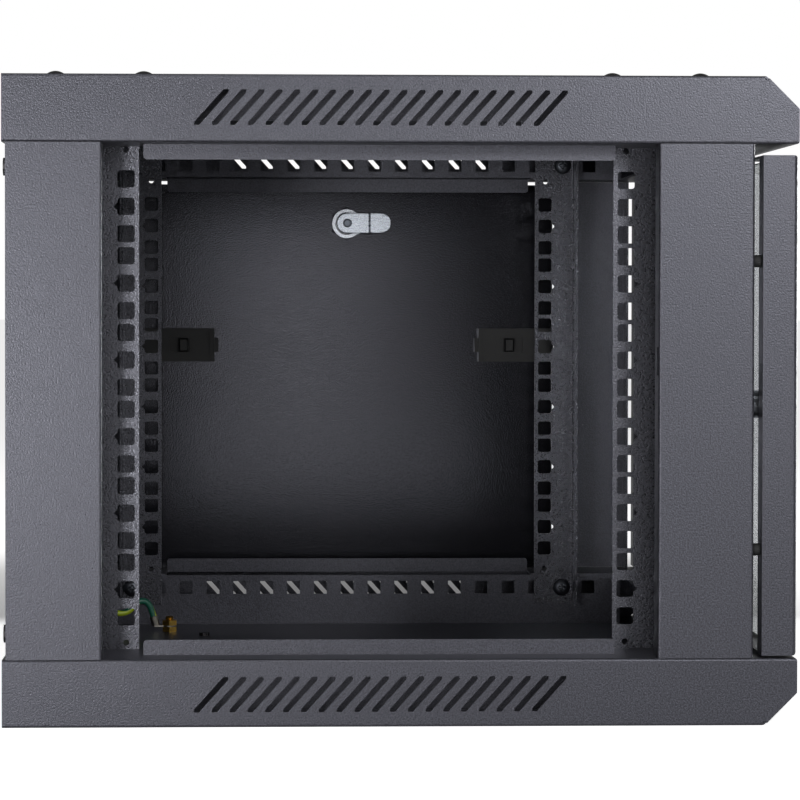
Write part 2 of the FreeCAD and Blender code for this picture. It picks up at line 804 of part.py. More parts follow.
def lock_barrel(length):
    """Cam lock body along +Z: the rim stands below 0, the threaded barrel above it."""
    rim = bar(lock_rim_radius, V(0, 0, -lock_rim_height), V(0, 0, lock_rim_height), lock_sides)
    body = bar(lock_barrel_radius, V(0, 0, 0), V(0, 0, length), lock_sides)
    bore = rod(lock_bore_radius, V(0, 0, -lock_rim_height), V(0, 0, lock_rim_height + length))
    return joined([rim, body]).cut(bore)


def lock_plug(length):
    """Turning plug with a key slot in its face."""
    face = plug_recess - lock_rim_height
    plug = rod(lock_plug_radius, V(0, 0, face), V(0, 0, length + cam_gap - face))
    key = block(-key_slot_length / 2, key_slot_length / 2, -key_slot_width / 2, key_slot_width / 2,
                face - key_slot_depth, face + key_slot_depth)
    depth_end = length + cam_gap
    hole = bar(cam_screw_radius + bolt_clearance, V(0, 0, depth_end), V(0, 0, -cam_screw_depth - plug_recess))
    return plug.cut([key, hole])


def lock_nut():
    """Hexagon nut on the barrel, seated on the inner face of the sheet at 0."""
    nut = hexagon(lock_nut_flats, V(0, 0, 0), V(0, 0, lock_nut_height))
    return nut.cut(bar(lock_barrel_radius + bolt_clearance, V(0, 0, 0), V(0, 0, lock_nut_height), lock_sides))


def lock_cam(length, reach, joggle, bend, bend_run):
    """Cam plate pointing along +X from the plug end; its tongue steps away by the joggle."""
    z = length + cam_gap
    profile = [V(-cam_width / 2, 0, z), V(bend, 0, z), V(bend + bend_run, 0, z + joggle), V(reach, 0, z + joggle),
               V(reach, 0, z + joggle + cam_thickness), V(bend + bend_run, 0, z + joggle + cam_thickness),
               V(bend, 0, z + cam_thickness), V(-cam_width / 2, 0, z + cam_thickness)]
    if joggle == 0:
        profile = [V(-cam_width / 2, 0, z), V(reach, 0, z), V(reach, 0, z + cam_thickness), V(-cam_width / 2, 0, z + cam_thickness)]
    strip = prism(profile, V(0, cam_width, 0))
    strip.translate(V(0, -cam_width / 2, 0))
    w = cam_width / 2
    high = V(0, 0, joggle + cam_thickness)
    tip = rounded_prism([V(0, -w, z), V(reach, -w, z), V(reach, w, z), V(0, w, z)], cam_tip_radius, high)
    outline = joined([rod(w, V(0, 0, z), high), tip, block(0, w, -w, w, z, z + high.z)])
    return strip.common(outline).cut(bar(cam_screw_radius + bolt_clearance, V(0, 0, z), high))


def cam_screw(length):
    """Screw that holds the cam on the plug."""
    return screw(V(0, 0, length + cam_gap + cam_thickness), V(0, 0, 1), cam_screw_head_radius, cam_screw_head_height,
                 cam_screw_radius, cam_thickness + cam_screw_depth)


def placed(shape, centre, across, inward):
    """Moves a lock piece so that its +Z runs inward and its +X runs across."""
    side = inward.cross(across)
    turn = FreeCAD.Matrix(across.x, side.x, inward.x, centre.x, across.y, side.y, inward.y, centre.y,
                          across.z, side.z, inward.z, centre.z, 0, 0, 0, 1)
    piece = shape.copy()
    piece.Placement = FreeCAD.Placement(turn)
    return piece


def side_panel():
    """Right side panel: a flat face with inward flanges along its top and bottom edges."""
    x0, x1 = panel_inner_x, panel_outer_x
    face = block(x0, x1, panel_front_y, panel_rear_y, panel_low_z, panel_high_z)
    flanges = [block(x1 - panel_flange, x1, panel_front_y, panel_rear_y, z, z + sheet)
               for z in (panel_low_z, panel_high_z - sheet)]
    panel = joined([face] + flanges)
    centre = V(x0 - sheet, opening_mid_y, side_lock_z)
    hole = bar(lock_barrel_radius + bolt_clearance, centre, V(3 * sheet, 0, 0), lock_sides)
    return panel.cut(hole)


def latch_housing(edge_y, inward):
    """Moulded housing of one slide latch; inward is the way from the opening's edge (+1 or -1 in Y)."""
    x1 = panel_inner_x
    x0 = x1 - latch_depth
    half = latch_height / 2

    def span(a, b):
        return sorted((edge_y + inward * a, edge_y + inward * b))

    ya, yb = span(latch_end_inset, latch_length)
    body = block(x0, x1, ya, yb, latch_z - half, latch_z + half)
    channel_z = latch_bolt_height / 2 + latch_fit
    ca, cb = span(0, latch_length - latch_wall)
    channel = block(x1 - latch_bolt_thickness - 2 * latch_fit, x1 + sheet, ca, cb, latch_z - channel_z, latch_z + channel_z)
    button = latch_button_length / 2 + latch_window_play
    wa, wb = span(latch_button_inset - button - latch_travel, latch_button_inset + button)
    window_z = latch_button_height / 2 + latch_fit
    window = block(x0 - sheet, x1, wa, wb, latch_z - window_z, latch_z + window_z)
    ra, rb = span(latch_length, latch_length + latch_rib)
    rib = block(x0 - latch_rib_rise, x1, ra, rb, latch_z - half, latch_z + half)
    ta, tb = span(latch_length + latch_rib, latch_length + latch_rib + latch_tab_length)
    tab = block(x0 + latch_tab_step, x1, ta, tb, latch_z - latch_tab_height / 2, latch_z + latch_tab_height / 2)
    return joined([body, rib, tab]).cut([channel, window])


def latch_slider(edge_y, inward):
    """Slider of one latch: a flat bolt with a thumb button that stands through the housing."""
    x1 = panel_inner_x - latch_fit
    x0 = x1 - latch_bolt_thickness
    ya, yb = sorted((edge_y + inward * latch_bolt_gap, edge_y + inward * (latch_length - latch_wall - latch_bolt_rear_gap)))
    bolt = block(x0, x1, ya, yb, latch_z - latch_bolt_height / 2, latch_z + latch_bolt_height / 2)
    mid = edge_y + inward * latch_button_inset
    h = latch_button_length / 2
    face_x = panel_inner_x - latch_depth - latch_button_rise
    button = block(face_x, x0, mid - h, mid + h, latch_z - latch_button_height / 2, latch_z + latch_button_height / 2)
    top = [e for e in button.Edges if e.CenterOfMass.x < face_x + 0.1]
    return joined([bolt, button.makeChamfer(latch_button_chamfer, top)])


def earth_studs():
    floor_stud = bar(stud_radius, V(stud_x, stud_y, stud_lift), V(0, 0, stud_length), stud_sides)
    root = V(back_stud_x, column_back_y + stud_recess, back_stud_z)
    back_stud = bar(stud_radius, root, V(0, -stud_length, 0), stud_sides)
    return Part.makeCompound([floor_stud, back_stud])


def stud_nuts(seat, out):
    """The two nuts that hold a ring terminal on a stud."""
    pair = []
    for rise in (0, stud_nut_height + terminal_thickness):
        nut = hexagon(stud_nut_flats, seat + out * rise, out * stud_nut_height)
        pair.append(nut.cut(bar(stud_radius + bolt_clearance, seat + out * rise, out * stud_nut_height, stud_sides)))
    return pair


def earth_nuts():
    floor_seat, back_seat = V(stud_x, stud_y, sheet), V(back_stud_x, column_back_y, back_stud_z)
    return Part.makeCompound(stud_nuts(floor_seat, V(0, 0, 1)) + stud_nuts(back_seat, V(0, -1, 0)))


def ring_terminal(seat, out, wire_end, wire_next):
    """A crimped ring on a stud: seat is on the lower nut, and the barrel ends where the wire begins."""
    way = (wire_next - wire_end).normalize()
    base = wire_end - way * terminal_barrel_length
    ring = bar(terminal_radius, seat, out * terminal_thickness, stud_sides)
    toward = base - seat
    toward = (toward - out * toward.dot(out)).normalize()
    across = out.cross(toward) * terminal_barrel_radius
    reach = toward * ((base - seat).dot(toward) + terminal_barrel_radius * terminal_neck)
    tongue = prism([seat - across, seat - across + reach, seat + across + reach, seat + across], out * terminal_thickness)
    barrel = bar(terminal_barrel_radius, base, way * terminal_barrel_length, stud_sides)
    hole = bar(stud_radius + bolt_clearance, seat, out * terminal_thickness, stud_sides)
    return joined([ring, tongue, barrel]).cut(hole)


def earth_terminals():
    route = [V(*p) for p in earth_route]
    floor_seat = V(stud_x, stud_y, sheet + stud_nut_height)
    back_seat = V(back_stud_x, column_back_y - stud_nut_height, back_stud_z)
    return Part.makeCompound([
        ring_terminal(floor_seat, V(0, 0, 1), route[0], route[1]),
        ring_terminal(back_seat, V(0, -1, 0), route[-1], route[-2]),
    ])


def cord(points, radius):
    """A cord, as a many sided tube, along straight runs joined by tangent arcs."""
    edges, radii, last, length = [], [], points[0], 0.0
    for i in range(1, len(points) - 1):
        back, ahead = points[i - 1] - points[i], points[i + 1] - points[i]
        shorter = min(back.Length, ahead.Length)
        back, ahead = back.normalize(), ahead.normalize()
        half_turn = (math.pi - back.getAngle(ahead)) / 2
        reach = 0.45 * shorter
        bend = reach / math.tan(half_turn)
        inward = (back + ahead).normalize()
        middle = points[i] + inward * (bend / math.cos(half_turn) - bend)
        start, end = points[i] + back * reach, points[i] + ahead * reach
        edges.append(Part.LineSegment(last, start).toShape())
        edges.append(Part.Arc(start, middle, end).toShape())
        length += (start - last).Length + 2 * half_turn * bend
        radii.append(round(bend, 1))
        last = end
    edges.append(Part.LineSegment(last, points[-1]).toShape())
    length += (points[-1] - last).Length
    path = Part.Wire(edges)
    start_run = points[1] - points[0]
    half_angle = math.pi / wire_sides
    side = start_run.cross(V(1, 0, 0)).normalize() * (radius / math.cos(half_angle))
    turn = FreeCAD.Rotation(start_run, 360 / wire_sides)
    corners = [points[0] + side]
    for _ in range(wire_sides):
        corners.append(points[0] + turn.multVec(corners[-1] - points[0]))
    section = Part.makePolygon(corners)
    tube = path.makePipeShell([section], True, False)
    area = wire_sides * radius * radius * math.tan(half_angle)
    print("cord radii", radii, "length", round(length, 1), "volume", round(tube.Volume, 1),
          "section x length", round(area * length, 1))
    return tube


def build():
    door_lock_at = V(-half_w + door_lock_inset, door_front_y, door_mid_z)
    side_lock_at = V(panel_outer_x, opening_mid_y, side_lock_z)
    up, back, inboard, ahead = V(0, 0, 1), V(0, 1, 0), V(-1, 0, 0), V(0, -1, 0)
    left_front, left_rear = front_column(), rear_column()
    low_rail, high_rail = depth_rail(), roof_depth_rail()
    low_cap, high_cap, low_slab, high_slab = bottom_cap(), top_cap(), rim_slab(), top_bottom(rim_slab())
    front_rail, rear_rail = rack_rail(front_rail_y, 1, front_rail_screw_edge), rack_rail(rear_rail_y, -1, rear_rail_screw_edge)
    front_space = jamb_space(opening_front_y, opening_front_y - column_hem)
    rear_space = jamb_space(opening_rear_y, opening_rear_y + column_hem)
    front_jamb, rear_jamb = jamb(left_front, front_space), jamb(left_rear, rear_space)
    left_front, left_rear = left_front.cut(front_space), left_rear.cut(rear_space)
    return {
        "bottom_cap": low_cap.cut(low_slab),
        "bottom_cap_rim": low_cap.common(low_slab),
        "top_cap": high_cap.cut(high_slab),
        "top_cap_rim": high_cap.common(high_slab),
        "back_panel": back_panel(),
        "left_front_column": left_front,
        "right_front_column": left_right(left_front),
        "left_rear_column": left_rear,
        "right_rear_column": left_right(left_rear),
        "left_front_jamb": front_jamb,
        "right_front_jamb": left_right(front_jamb),
        "left_rear_jamb": rear_jamb,
        "right_rear_jamb": left_right(rear_jamb),
        "left_floor_depth_rail": low_rail,
        "right_floor_depth_rail": left_right(low_rail),
        "left_roof_depth_rail": high_rail,
        "right_roof_depth_rail": left_right(high_rail),
        "left_front_rack_rail": front_rail,
        "right_front_rack_rail": left_right(front_rail),
        "left_rear_rack_rail": rear_rail,
        "right_rear_rack_rail": left_right(rear_rail),
        "rail_screws": rail_screws(),
        "rail_cage_nuts": rail_cage_nuts(),
        "roof_bolts": roof_bolts(),
        "roof_nuts": roof_nuts(),
        "back_bolts": back_bolts(),
        "floor_cable_plate": entry_plate(),
        "roof_cable_plate": top_bottom(entry_plate()),
        "fan_guard": fan_guard(),
        "roof_plate_screws": roof_plate_screws(),
        "floor_plate_screws": floor_plate_screws(),
        "earth_studs": earth_studs(),
        "earth_nuts": earth_nuts(),
        "earth_terminals": earth_terminals(),
        "earth_wire": cord([V(*p) for p in earth_route], wire_radius),
        "door_lock_stile": door_lock_stile(),
        "door_hinge_stile": door_hinge_stile(),
        "door_glass": door_glass(),
        "door_bumpers": door_bumpers(),
        "door_lower_hinge_pin": lower_hinge_pin(),
        "door_upper_hinge_pin": upper_hinge_pin(),
        "door_pin_bracket": pin_bracket(),
        "door_lock_barrel": placed(lock_barrel(door_lock_length), door_lock_at, up, back),
        "door_lock_nut": placed(lock_nut(), door_lock_at + V(0, sheet, 0), up, back),
        "door_lock_plug": placed(lock_plug(door_lock_length), door_lock_at, up, back),
        "door_lock_cam": placed(lock_cam(door_lock_length, door_cam_reach, 0, 0, 0), door_lock_at, up, back),
        "door_lock_screw": placed(cam_screw(door_lock_length), door_lock_at, up, back),
        "right_side_panel": side_panel(),
        "side_lock_barrel": placed(lock_barrel(side_lock_length), side_lock_at, ahead, inboard),
        "side_lock_nut": placed(lock_nut(), side_lock_at - V(sheet, 0, 0), up, inboard),
        "side_lock_plug": placed(lock_plug(side_lock_length), side_lock_at, ahead, inboard),
        "side_lock_cam": placed(lock_cam(side_lock_length, side_cam_reach, side_cam_joggle, side_cam_bend, side_cam_bend_run),
                                side_lock_at, ahead, inboard),
        "side_lock_screw": placed(cam_screw(side_lock_length), side_lock_at, ahead, inboard),
        "front_latch_housing": latch_housing(opening_front_y, 1),
        "rear_latch_housing": latch_housing(opening_rear_y, -1),
        "front_latch_slider": latch_slider(opening_front_y, 1),
        "rear_latch_slider": latch_slider(opening_rear_y, -1),
    }


os.makedirs("parts", exist_ok=True)
for name, shape in build().items():
    shape.exportStep("parts/" + name + ".step")
    print(name, len(shape.Solids), "solids", round(shape.Volume, 1), "mm3", "valid" if shape.isValid() else "INVALID")
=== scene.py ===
import json
import math
import bmesh
import bpy
import numpy as np
from mathutils import Euler, Matrix, Vector


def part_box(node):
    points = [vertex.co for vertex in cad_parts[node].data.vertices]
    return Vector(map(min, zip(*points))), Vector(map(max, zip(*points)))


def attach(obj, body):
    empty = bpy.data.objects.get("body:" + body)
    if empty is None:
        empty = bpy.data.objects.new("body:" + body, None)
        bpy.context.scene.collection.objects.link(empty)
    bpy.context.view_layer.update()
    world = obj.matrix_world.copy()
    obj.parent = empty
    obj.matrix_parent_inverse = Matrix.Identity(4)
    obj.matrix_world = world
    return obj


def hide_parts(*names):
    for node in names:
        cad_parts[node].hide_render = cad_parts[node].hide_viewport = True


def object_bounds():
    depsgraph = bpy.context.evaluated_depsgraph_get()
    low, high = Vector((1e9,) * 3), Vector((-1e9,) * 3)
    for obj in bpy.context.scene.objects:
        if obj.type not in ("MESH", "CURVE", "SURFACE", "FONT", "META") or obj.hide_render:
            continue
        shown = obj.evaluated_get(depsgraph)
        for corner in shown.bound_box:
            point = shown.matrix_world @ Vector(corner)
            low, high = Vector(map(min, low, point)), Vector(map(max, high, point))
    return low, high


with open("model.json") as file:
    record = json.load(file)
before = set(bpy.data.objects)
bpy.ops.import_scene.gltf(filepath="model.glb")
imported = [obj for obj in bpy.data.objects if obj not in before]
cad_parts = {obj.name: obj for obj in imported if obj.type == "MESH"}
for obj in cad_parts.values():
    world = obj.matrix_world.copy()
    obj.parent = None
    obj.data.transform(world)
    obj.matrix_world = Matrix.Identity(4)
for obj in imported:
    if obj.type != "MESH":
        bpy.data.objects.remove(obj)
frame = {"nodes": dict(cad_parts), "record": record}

cadLow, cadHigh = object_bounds()
nodes = frame["nodes"]
print("frame loaded with", len(nodes), "pieces")


class Signal:
    # a node's output that can stand in an expression: each operator adds a Math node
    def __init__(self, net, socket):
        self.net = net
        self.socket = socket

    def __add__(self, other):
        return self.net.maths("ADD", self, other)

    def __radd__(self, other):
        return self.net.maths("ADD", other, self)

    def __sub__(self, other):
        return self.net.maths("SUBTRACT", self, other)

    def __rsub__(self, other):
        return self.net.maths("SUBTRACT", other, self)

    def __mul__(self, other):
        return self.net.maths("MULTIPLY", self, other)

    def __rmul__(self, other):
        return self.net.maths("MULTIPLY", other, self)

    def over(self, edge):
        return self.net.maths("GREATER_THAN", self, edge)


class Net:
    # the nodes of one material, or of the sky
    def __init__(self, tree):
        self.tree = tree

    def feed(self, socket, value):
        if isinstance(value, Signal):
            self.tree.links.new(value.socket, socket)
        else:
            socket.default_value = value

    def node(self, kind, settings=None, inputs=None, output=0):
        # the settings come first, then each socket gets its value or its link
        made = self.tree.nodes.new("ShaderNode" + kind)
        for key, value in (settings or {}).items():
            setattr(made, key, value)
        for key, value in (inputs or {}).items():
            self.feed(made.inputs[key], value)
        return Signal(self, made.outputs[output])

    def maths(self, operation, first, second=0.0):
        return self.node("Math", {"operation": operation}, {0: first, 1: second})

    def place(self):
        return self.node("TexCoord", output="Object")

    def part(self, axis, where=None):
        # one of the three numbers of a place
        return self.node("SeparateXYZ", inputs={"Vector": where or self.place()}, output=axis)

    def noise(self, scale, detail=2.0, rough=0.5, stretch=None):
        where = self.place()
        if stretch:
            where = self.node("Mapping", inputs={"Vector": where, "Scale": stretch})
        return self.node("TexNoise", inputs={
            "Vector": where, "Scale": scale, "Detail": detail, "Roughness": rough})

    def tint(self, amount, low, high):
        # colour that runs from low to high as amount runs from 0 to 1
        ends = [end if isinstance(end, Signal) else (*end, 1) for end in (low, high)]
        return self.node("Mix", {"data_type": "RGBA"}, {0: amount, 6: ends[0], 7: ends[1]}, output=2)

    def fade(self, value, low, high):
        # rises smoothly from 0 at low to 1 at high, or falls where high is the lower one
        return self.node("MapRange", {"interpolation_type": "SMOOTHSTEP"},
                         {"Value": value, "From Min": low, "From Max": high})


class Finish(Net):
    # one material while its nodes are laid out
    def __init__(self, name, sockets=None):
        self.material = bpy.data.materials.new(name)
        self.material.use_nodes = True
        super().__init__(self.material.node_tree)
        self.shader = self.tree.nodes["Principled BSDF"]
        for socket, value in (sockets or {}).items():
            self.set(socket, value)

    def set(self, socket, value):
        self.feed(self.shader.inputs[socket], value)

    def bump(self, height, strength, depth):
        self.set("Normal", self.node("Bump", inputs={
            "Height": height, "Strength": strength, "Distance": depth}))


def linear(r, g, b):
    # display colour 0..255 to the shader's own scale
    return tuple(((v / 255 + 0.055) / 1.055) ** 2.4 if v > 10 else v / 3294.6 for v in (r, g, b))


coat = {
    "dark": linear(9, 9, 11),
    "light": linear(58, 58, 65),
    "specular": 0.72,
    "specularTint": (0.86, 0.87, 1.0),
    "grainScale": 1050.0,      # speckles to the metre
    "grainDetail": 1.0,
    "grainRough": 0.6,
    "grainEnds": (0.3, 0.7),   # the reach of the noise that runs from dark to light
    "patchScale": 9.0,
    "patchShare": 0.1,
    "roughness": 0.345,
    "grainRoughness": 0.25,
    "bumpStrength": 0.8,
    "bumpDepth": 0.00018,
}
# painted shade: the rails take darker colours than the body coat, standing in for the shade inside the
# cabinet; their gloss is higher
shadedRailCoat = {"specular": 0.95, "roughness": 0.29, "dark": linear(8, 8, 10), "light": linear(36, 36, 40)}
# painted shade: the jambs take darker colours and less gloss than the body coat, standing in for the shade
# behind the columns
shadedJambCoat = {"specular": 0.42, "roughness": 0.36, "dark": linear(4, 4, 5), "light": linear(34, 34, 38)}
panelInside = {                # the side panel is smoother inside, and darker there: painted shade of the cabinet's interior
    "node": "right_side_panel",
    "sheet": 0.0012,
    "dark": linear(12, 12, 14),
    "light": linear(24, 24, 28),
    "roughness": 0.12,
    "glossShare": 0.0,         # how much of the grain is left inside, in the gloss and in the bump
    "bumpShare": 0.42,
}
columnFoldShade = {               # painted shade: the coat is darker in the folds of a column, standing in for the shade in these recesses, and a little smoother there
    "depth": 0.0045,           # from the outermost point of the cabinet to where the inside starts
    "back": 0.2215,
    "dark": linear(4, 4, 5),
    "light": linear(34, 34, 38),
    "roughness": 0.30,
    "glossShare": 1.0,
    "bumpShare": 1.0,
}


def pastPanel(net):
    # one outside the middle of the side panel's sheet, nought inside it
    return net.part(0).over(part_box(panelInside["node"])[1][0] - panelInside["sheet"] / 2)


def columnOutside(net):
    # one on the side faces and the back face of a column, nought in its folds, which take the painted shade
    across = net.maths("ABSOLUTE", net.part(0)).over(cadHigh[0] - columnFoldShade["depth"])
    return net.maths("MAXIMUM", across, net.part(1).over(columnFoldShade["back"]))


def coatFinish(name, settings, inside=None, outsideMask=None):
    # fine grain of two greys, the same grain in the gloss and in the bump; where there is an inside, the
    # mask turns each of them from its inner value to its outer one, and the darker inner colours are
    # painted shade
    finish = Finish(name, {"Specular IOR Level": settings["specular"],
                           "Specular Tint": (*settings["specularTint"], 1)})
    grain = finish.noise(settings["grainScale"], settings["grainDetail"], settings["grainRough"])
    patch = finish.noise(settings["patchScale"])
    ends = settings["grainEnds"]
    amount = finish.node("MapRange", inputs={"Value": grain, "From Min": ends[0], "From Max": ends[1]})
    amount = amount * (1 - settings["patchShare"]) + patch * settings["patchShare"]
    colour = finish.tint(amount, settings["dark"], settings["light"])
    gloss = (grain - 0.5) * settings["grainRoughness"]
    roughness = settings["roughness"] + gloss
    height = grain
    if inside:
        outside = outsideMask(finish)
        glossShare, bumpShare = inside["glossShare"], inside["bumpShare"]
        colour = finish.tint(outside, finish.tint(amount, inside["dark"], inside["light"]), colour)
        roughness = (inside["roughness"] + outside * (settings["roughness"] - inside["roughness"])
                     + gloss * (glossShare + outside * (1 - glossShare)))
        height = grain * (bumpShare + outside * (1 - bumpShare))
    finish.set("Base Color", colour)
    finish.set("Roughness", roughness)
    finish.bump(height, settings["bumpStrength"], settings["bumpDepth"])
    return finish.material


plate = {                      # what all the plated parts share
    "cloudScale": 420.0,
    "cloudDetail": 3.0,
    "cloudShade": 0.82,
    "streakDetail": 4.0,
    "streakRough": 0.6,
    "streakStretch": (1, 1, 14),
    "streakDepth": 0.16,
    "bumpStrength": 0.12,
    "bumpDepth": 0.00005,
}
plated = {
    "brightZincPlate": {"tone": linear(176, 180, 190), "roughness": 0.34, "streaks": 60.0},
    "tinnedCopper": {"tone": linear(150, 146, 138), "roughness": 0.4, "streaks": 60.0},
    "satinDieCast": {"tone": linear(188, 192, 202), "roughness": 0.3, "streaks": 90.0},
    "camZincPlate": {"tone": linear(206, 212, 222), "roughness": 0.27, "streaks": 140.0},
    "nutZincPlate": {"tone": linear(214, 218, 226), "roughness": 0.22, "streaks": 120.0},
    "lockScrewSteel": {"tone": linear(126, 132, 142), "roughness": 0.4, "streaks": 60.0},
    # painted shade: a darker zinc for the rail screws, standing in for the shade inside the cabinet
    "shadeDarkenedZincPlate": {"tone": linear(92, 95, 102), "roughness": 0.42, "streaks": 60.0},
    "lockBarrelFinish": {
        "tone": linear(188, 192, 202), "roughness": 0.3, "streaks": 90.0, "dark": linear(160, 164, 172),
        "thread": (linear(36, 38, 42), linear(58, 60, 66))},  # painted shade: two dark tones on the threads inside the panel, standing in for the shadow round the nut
}


def platedFinish(name):
    # a cloudy plate with long streaks in its gloss
    settings = plated[name]
    tone = settings["tone"]
    finish = Finish(name, {"Metallic": 1.0})
    cloud = finish.noise(plate["cloudScale"], plate["cloudDetail"])
    dark = settings.get("dark", tuple(v * plate["cloudShade"] for v in tone))
    colour = finish.tint(cloud, dark, tone)
    if "thread" in settings:
        # painted shade on the barrel's threads inside the panel
        colour = finish.tint(pastPanel(finish), finish.tint(cloud, *settings["thread"]), colour)
    finish.set("Base Color", colour)
    streaks = finish.noise(settings["streaks"], plate["streakDetail"], plate["streakRough"],
                           plate["streakStretch"])
    finish.set("Roughness", settings["roughness"] + (streaks - 0.5) * plate["streakDepth"])
    finish.bump(cloud, plate["bumpStrength"], plate["bumpDepth"])
    return finish.material


clouded = {
    "blackZincPlate": {
        "sockets": {"Metallic": 0.85, "Roughness": 0.38}, "scale": 700.0, "detail": 2.0,
        "dark": linear(40, 39, 41), "light": linear(70, 68, 70), "bump": (0.1, 0.00004)},
    "turnedBrass": {
        "sockets": {"Metallic": 1.0, "Roughness": 0.34}, "scale": 500.0, "detail": 3.0,
        "dark": linear(150, 112, 48), "light": linear(214, 178, 92), "bump": (0.15, 0.00005)},
    "blackMouldedPlastic": {
        "sockets": {"Roughness": 0.45, "Specular IOR Level": 0.35}, "scale": 2600.0, "detail": 2.0,
        "dark": linear(12, 12, 13), "light": linear(32, 32, 34), "bump": (0.25, 0.00006)},
    "softBumperRubber": {
        "sockets": {"Roughness": 0.75}, "scale": 1800.0, "detail": 2.0,
        "dark": linear(16, 16, 17), "light": linear(32, 32, 33), "bump": (0.3, 0.00008)},
}


def cloudedFinish(name):
    # two tones and a bump that follow one noise
    settings = clouded[name]
    finish = Finish(name, settings["sockets"])
    cloud = finish.noise(settings["scale"], settings["detail"])
    finish.set("Base Color", finish.tint(cloud, settings["dark"], settings["light"]))
    finish.bump(cloud, *settings["bump"])
    return finish.material


glass = {
    "dark": linear(214, 217, 218),
    "light": linear(222, 225, 226),
    "smearScale": 6.0,
    "smearDetail": 3.0,
    "roughness": 0.002,
    "smearRoughness": 0.008,
    "edgeWidth": 0.0006,
    "edgeColour": linear(18, 24, 22),
}


def tintedGlass():
    # a clear pane with dark ground edges: a point is on an edge where it is further from the middle
    # than half the pane less the edge's width
    finish = Finish("toughenedDoorGlass", {"IOR": 1.5, "Transmission Weight": 1.0})
    smear = finish.noise(glass["smearScale"], glass["smearDetail"])
    low, high = (np.array(v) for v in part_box("door_glass"))
    middle, half = (low + high) / 2, (high - low) / 2 - glass["edgeWidth"]
    ends = [finish.maths("ABSOLUTE", finish.part(i) - middle[i]).over(half[i]) for i in (0, 2)]
    clear = finish.tint(smear, glass["dark"], glass["light"])
    finish.set("Base Color", finish.tint(finish.maths("MAXIMUM", *ends), clear, glass["edgeColour"]))
    finish.set("Roughness", glass["roughness"] + smear * glass["smearRoughness"])
    return finish.material


sleeve = {
    "green": linear(26, 92, 74),
    "yellow": linear(158, 176, 30),
    "stripes": 1.0,            # yellow bands round the wire
    "twist": 2.17,             # turns that the bands make along it
    "shift": 0.76,             # where round the wire the first band starts
    "yellowShare": 0.42,
    "roughness": 0.42,
    "fleckScale": 900.0,
    "edgeWaver": 0.06,
    "bumpStrength": 0.2,
    "bumpDepth": 0.00004,
}


def earthSleeve():
    # a yellow band runs along a green sleeve and turns slowly round it: the angle round the wire and
    # the way along it add up to a phase, and the band is the first share of each whole turn
    finish = Finish("earthSleeve", {"Roughness": sleeve["roughness"]})
    around = finish.node("UVMap", {"uv_map": "sleeve"})
    phase = (finish.part(0, around) * sleeve["stripes"] + finish.part(1, around) * sleeve["twist"]
             + sleeve["shift"])
    fleck = finish.noise(sleeve["fleckScale"])
    band = finish.maths("FRACT", phase) + (fleck - 0.5) * sleeve["edgeWaver"]
    yellow = finish.maths("LESS_THAN", band, sleeve["yellowShare"])
    finish.set("Base Color", finish.tint(yellow, sleeve["green"], sleeve["yellow"]))
    finish.bump(fleck, sleeve["bumpStrength"], sleeve["bumpDepth"])
    return finish.material


finishes = {
    "powder_coat": coatFinish("fineTexturedPowderCoat", coat),
    "zinc_steel": platedFinish("brightZincPlate"),
    "black_zinc": cloudedFinish("blackZincPlate"),
    "brass": cloudedFinish("turnedBrass"),
    "tinned_copper": platedFinish("tinnedCopper"),
    "earth_sleeve": earthSleeve(),
    "tinted_glass": tintedGlass(),
    "bumper_rubber": cloudedFinish("softBumperRubber"),
    "lock_chrome": platedFinish("satinDieCast"),
    "black_plastic": cloudedFinish("blackMouldedPlastic"),
}
# rail coat with painted shade in its darker colours
shadedRailFinish = coatFinish("rackRailPowderCoat", {**coat, **shadedRailCoat})
# jamb coat with painted shade
shadedJambFinish = coatFinish("jambPowderCoatPaintedShade", {**coat, **shadedJambCoat})
# column coat with painted shade in its folds
columnFinish = coatFinish("columnPowderCoatPaintedShade", coat, columnFoldShade, columnOutside)
special = {
    # the side panel's inside carries painted shade
    panelInside["node"]: coatFinish("sidePanelPowderCoat", coat, panelInside, pastPanel),
    "side_lock_barrel": platedFinish("lockBarrelFinish"),
}
for side in ("left", "right"):
    for end in ("front", "rear"):
        special[side + "_" + end + "_jamb"] = shadedJambFinish
        special[side + "_" + end + "_column"] = columnFinish
for subpart in frame["record"]["subparts"]:
    name = subpart["node"]
    for slot in nodes[name].material_slots:
        slot.material = special.get(name, finishes[subpart["material_slot"]])
print("finishes laid on the CAD pieces")


def enterPiece(mesh, finish, body, replaced, smooth):
    # a finished mesh becomes a piece of the same name, in the place of one CAD node; edges that turn by
    # more than the smooth angle, in degrees, stay sharp
    mesh.materials.append(finish)
    if smooth:
        mesh.shade_smooth()
        mesh.set_sharp_from_angle(angle=math.radians(smooth))
    piece = bpy.data.objects.new(mesh.name, mesh)
    bpy.context.scene.collection.objects.link(piece)
    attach(piece, body)
    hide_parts(replaced)
    return piece


def makePiece(name, points, faces, finish, slot, body, replaced, smooth=0):
    # one closed mesh at the origin: shared points are welded and the faces turned outwards
    mesh = bpy.data.meshes.new(name)
    mesh.from_pydata(points.tolist(), [], faces.tolist())
    shell = bmesh.new()
    shell.from_mesh(mesh)
    bmesh.ops.remove_doubles(shell, verts=shell.verts, dist=1e-6)
    bmesh.ops.recalc_face_normals(shell, faces=shell.faces)
    shell.to_mesh(mesh)
    shell.free()
    enterPiece(mesh, finish, body, replaced, smooth)


def tubeFaces(rings, sides, closed=False):
    # quads between each ring of points and the next, and from the last to the first where it is closed
    rows = np.arange(rings if closed else rings - 1)[:, None]
    near, far = np.arange(sides), np.roll(np.arange(sides), -1)
    after = (rows + 1) % rings * sides
    rows = rows * sides
    return np.stack([rows + near, rows + far, after + far, after + near], -1).reshape(-1, 4)


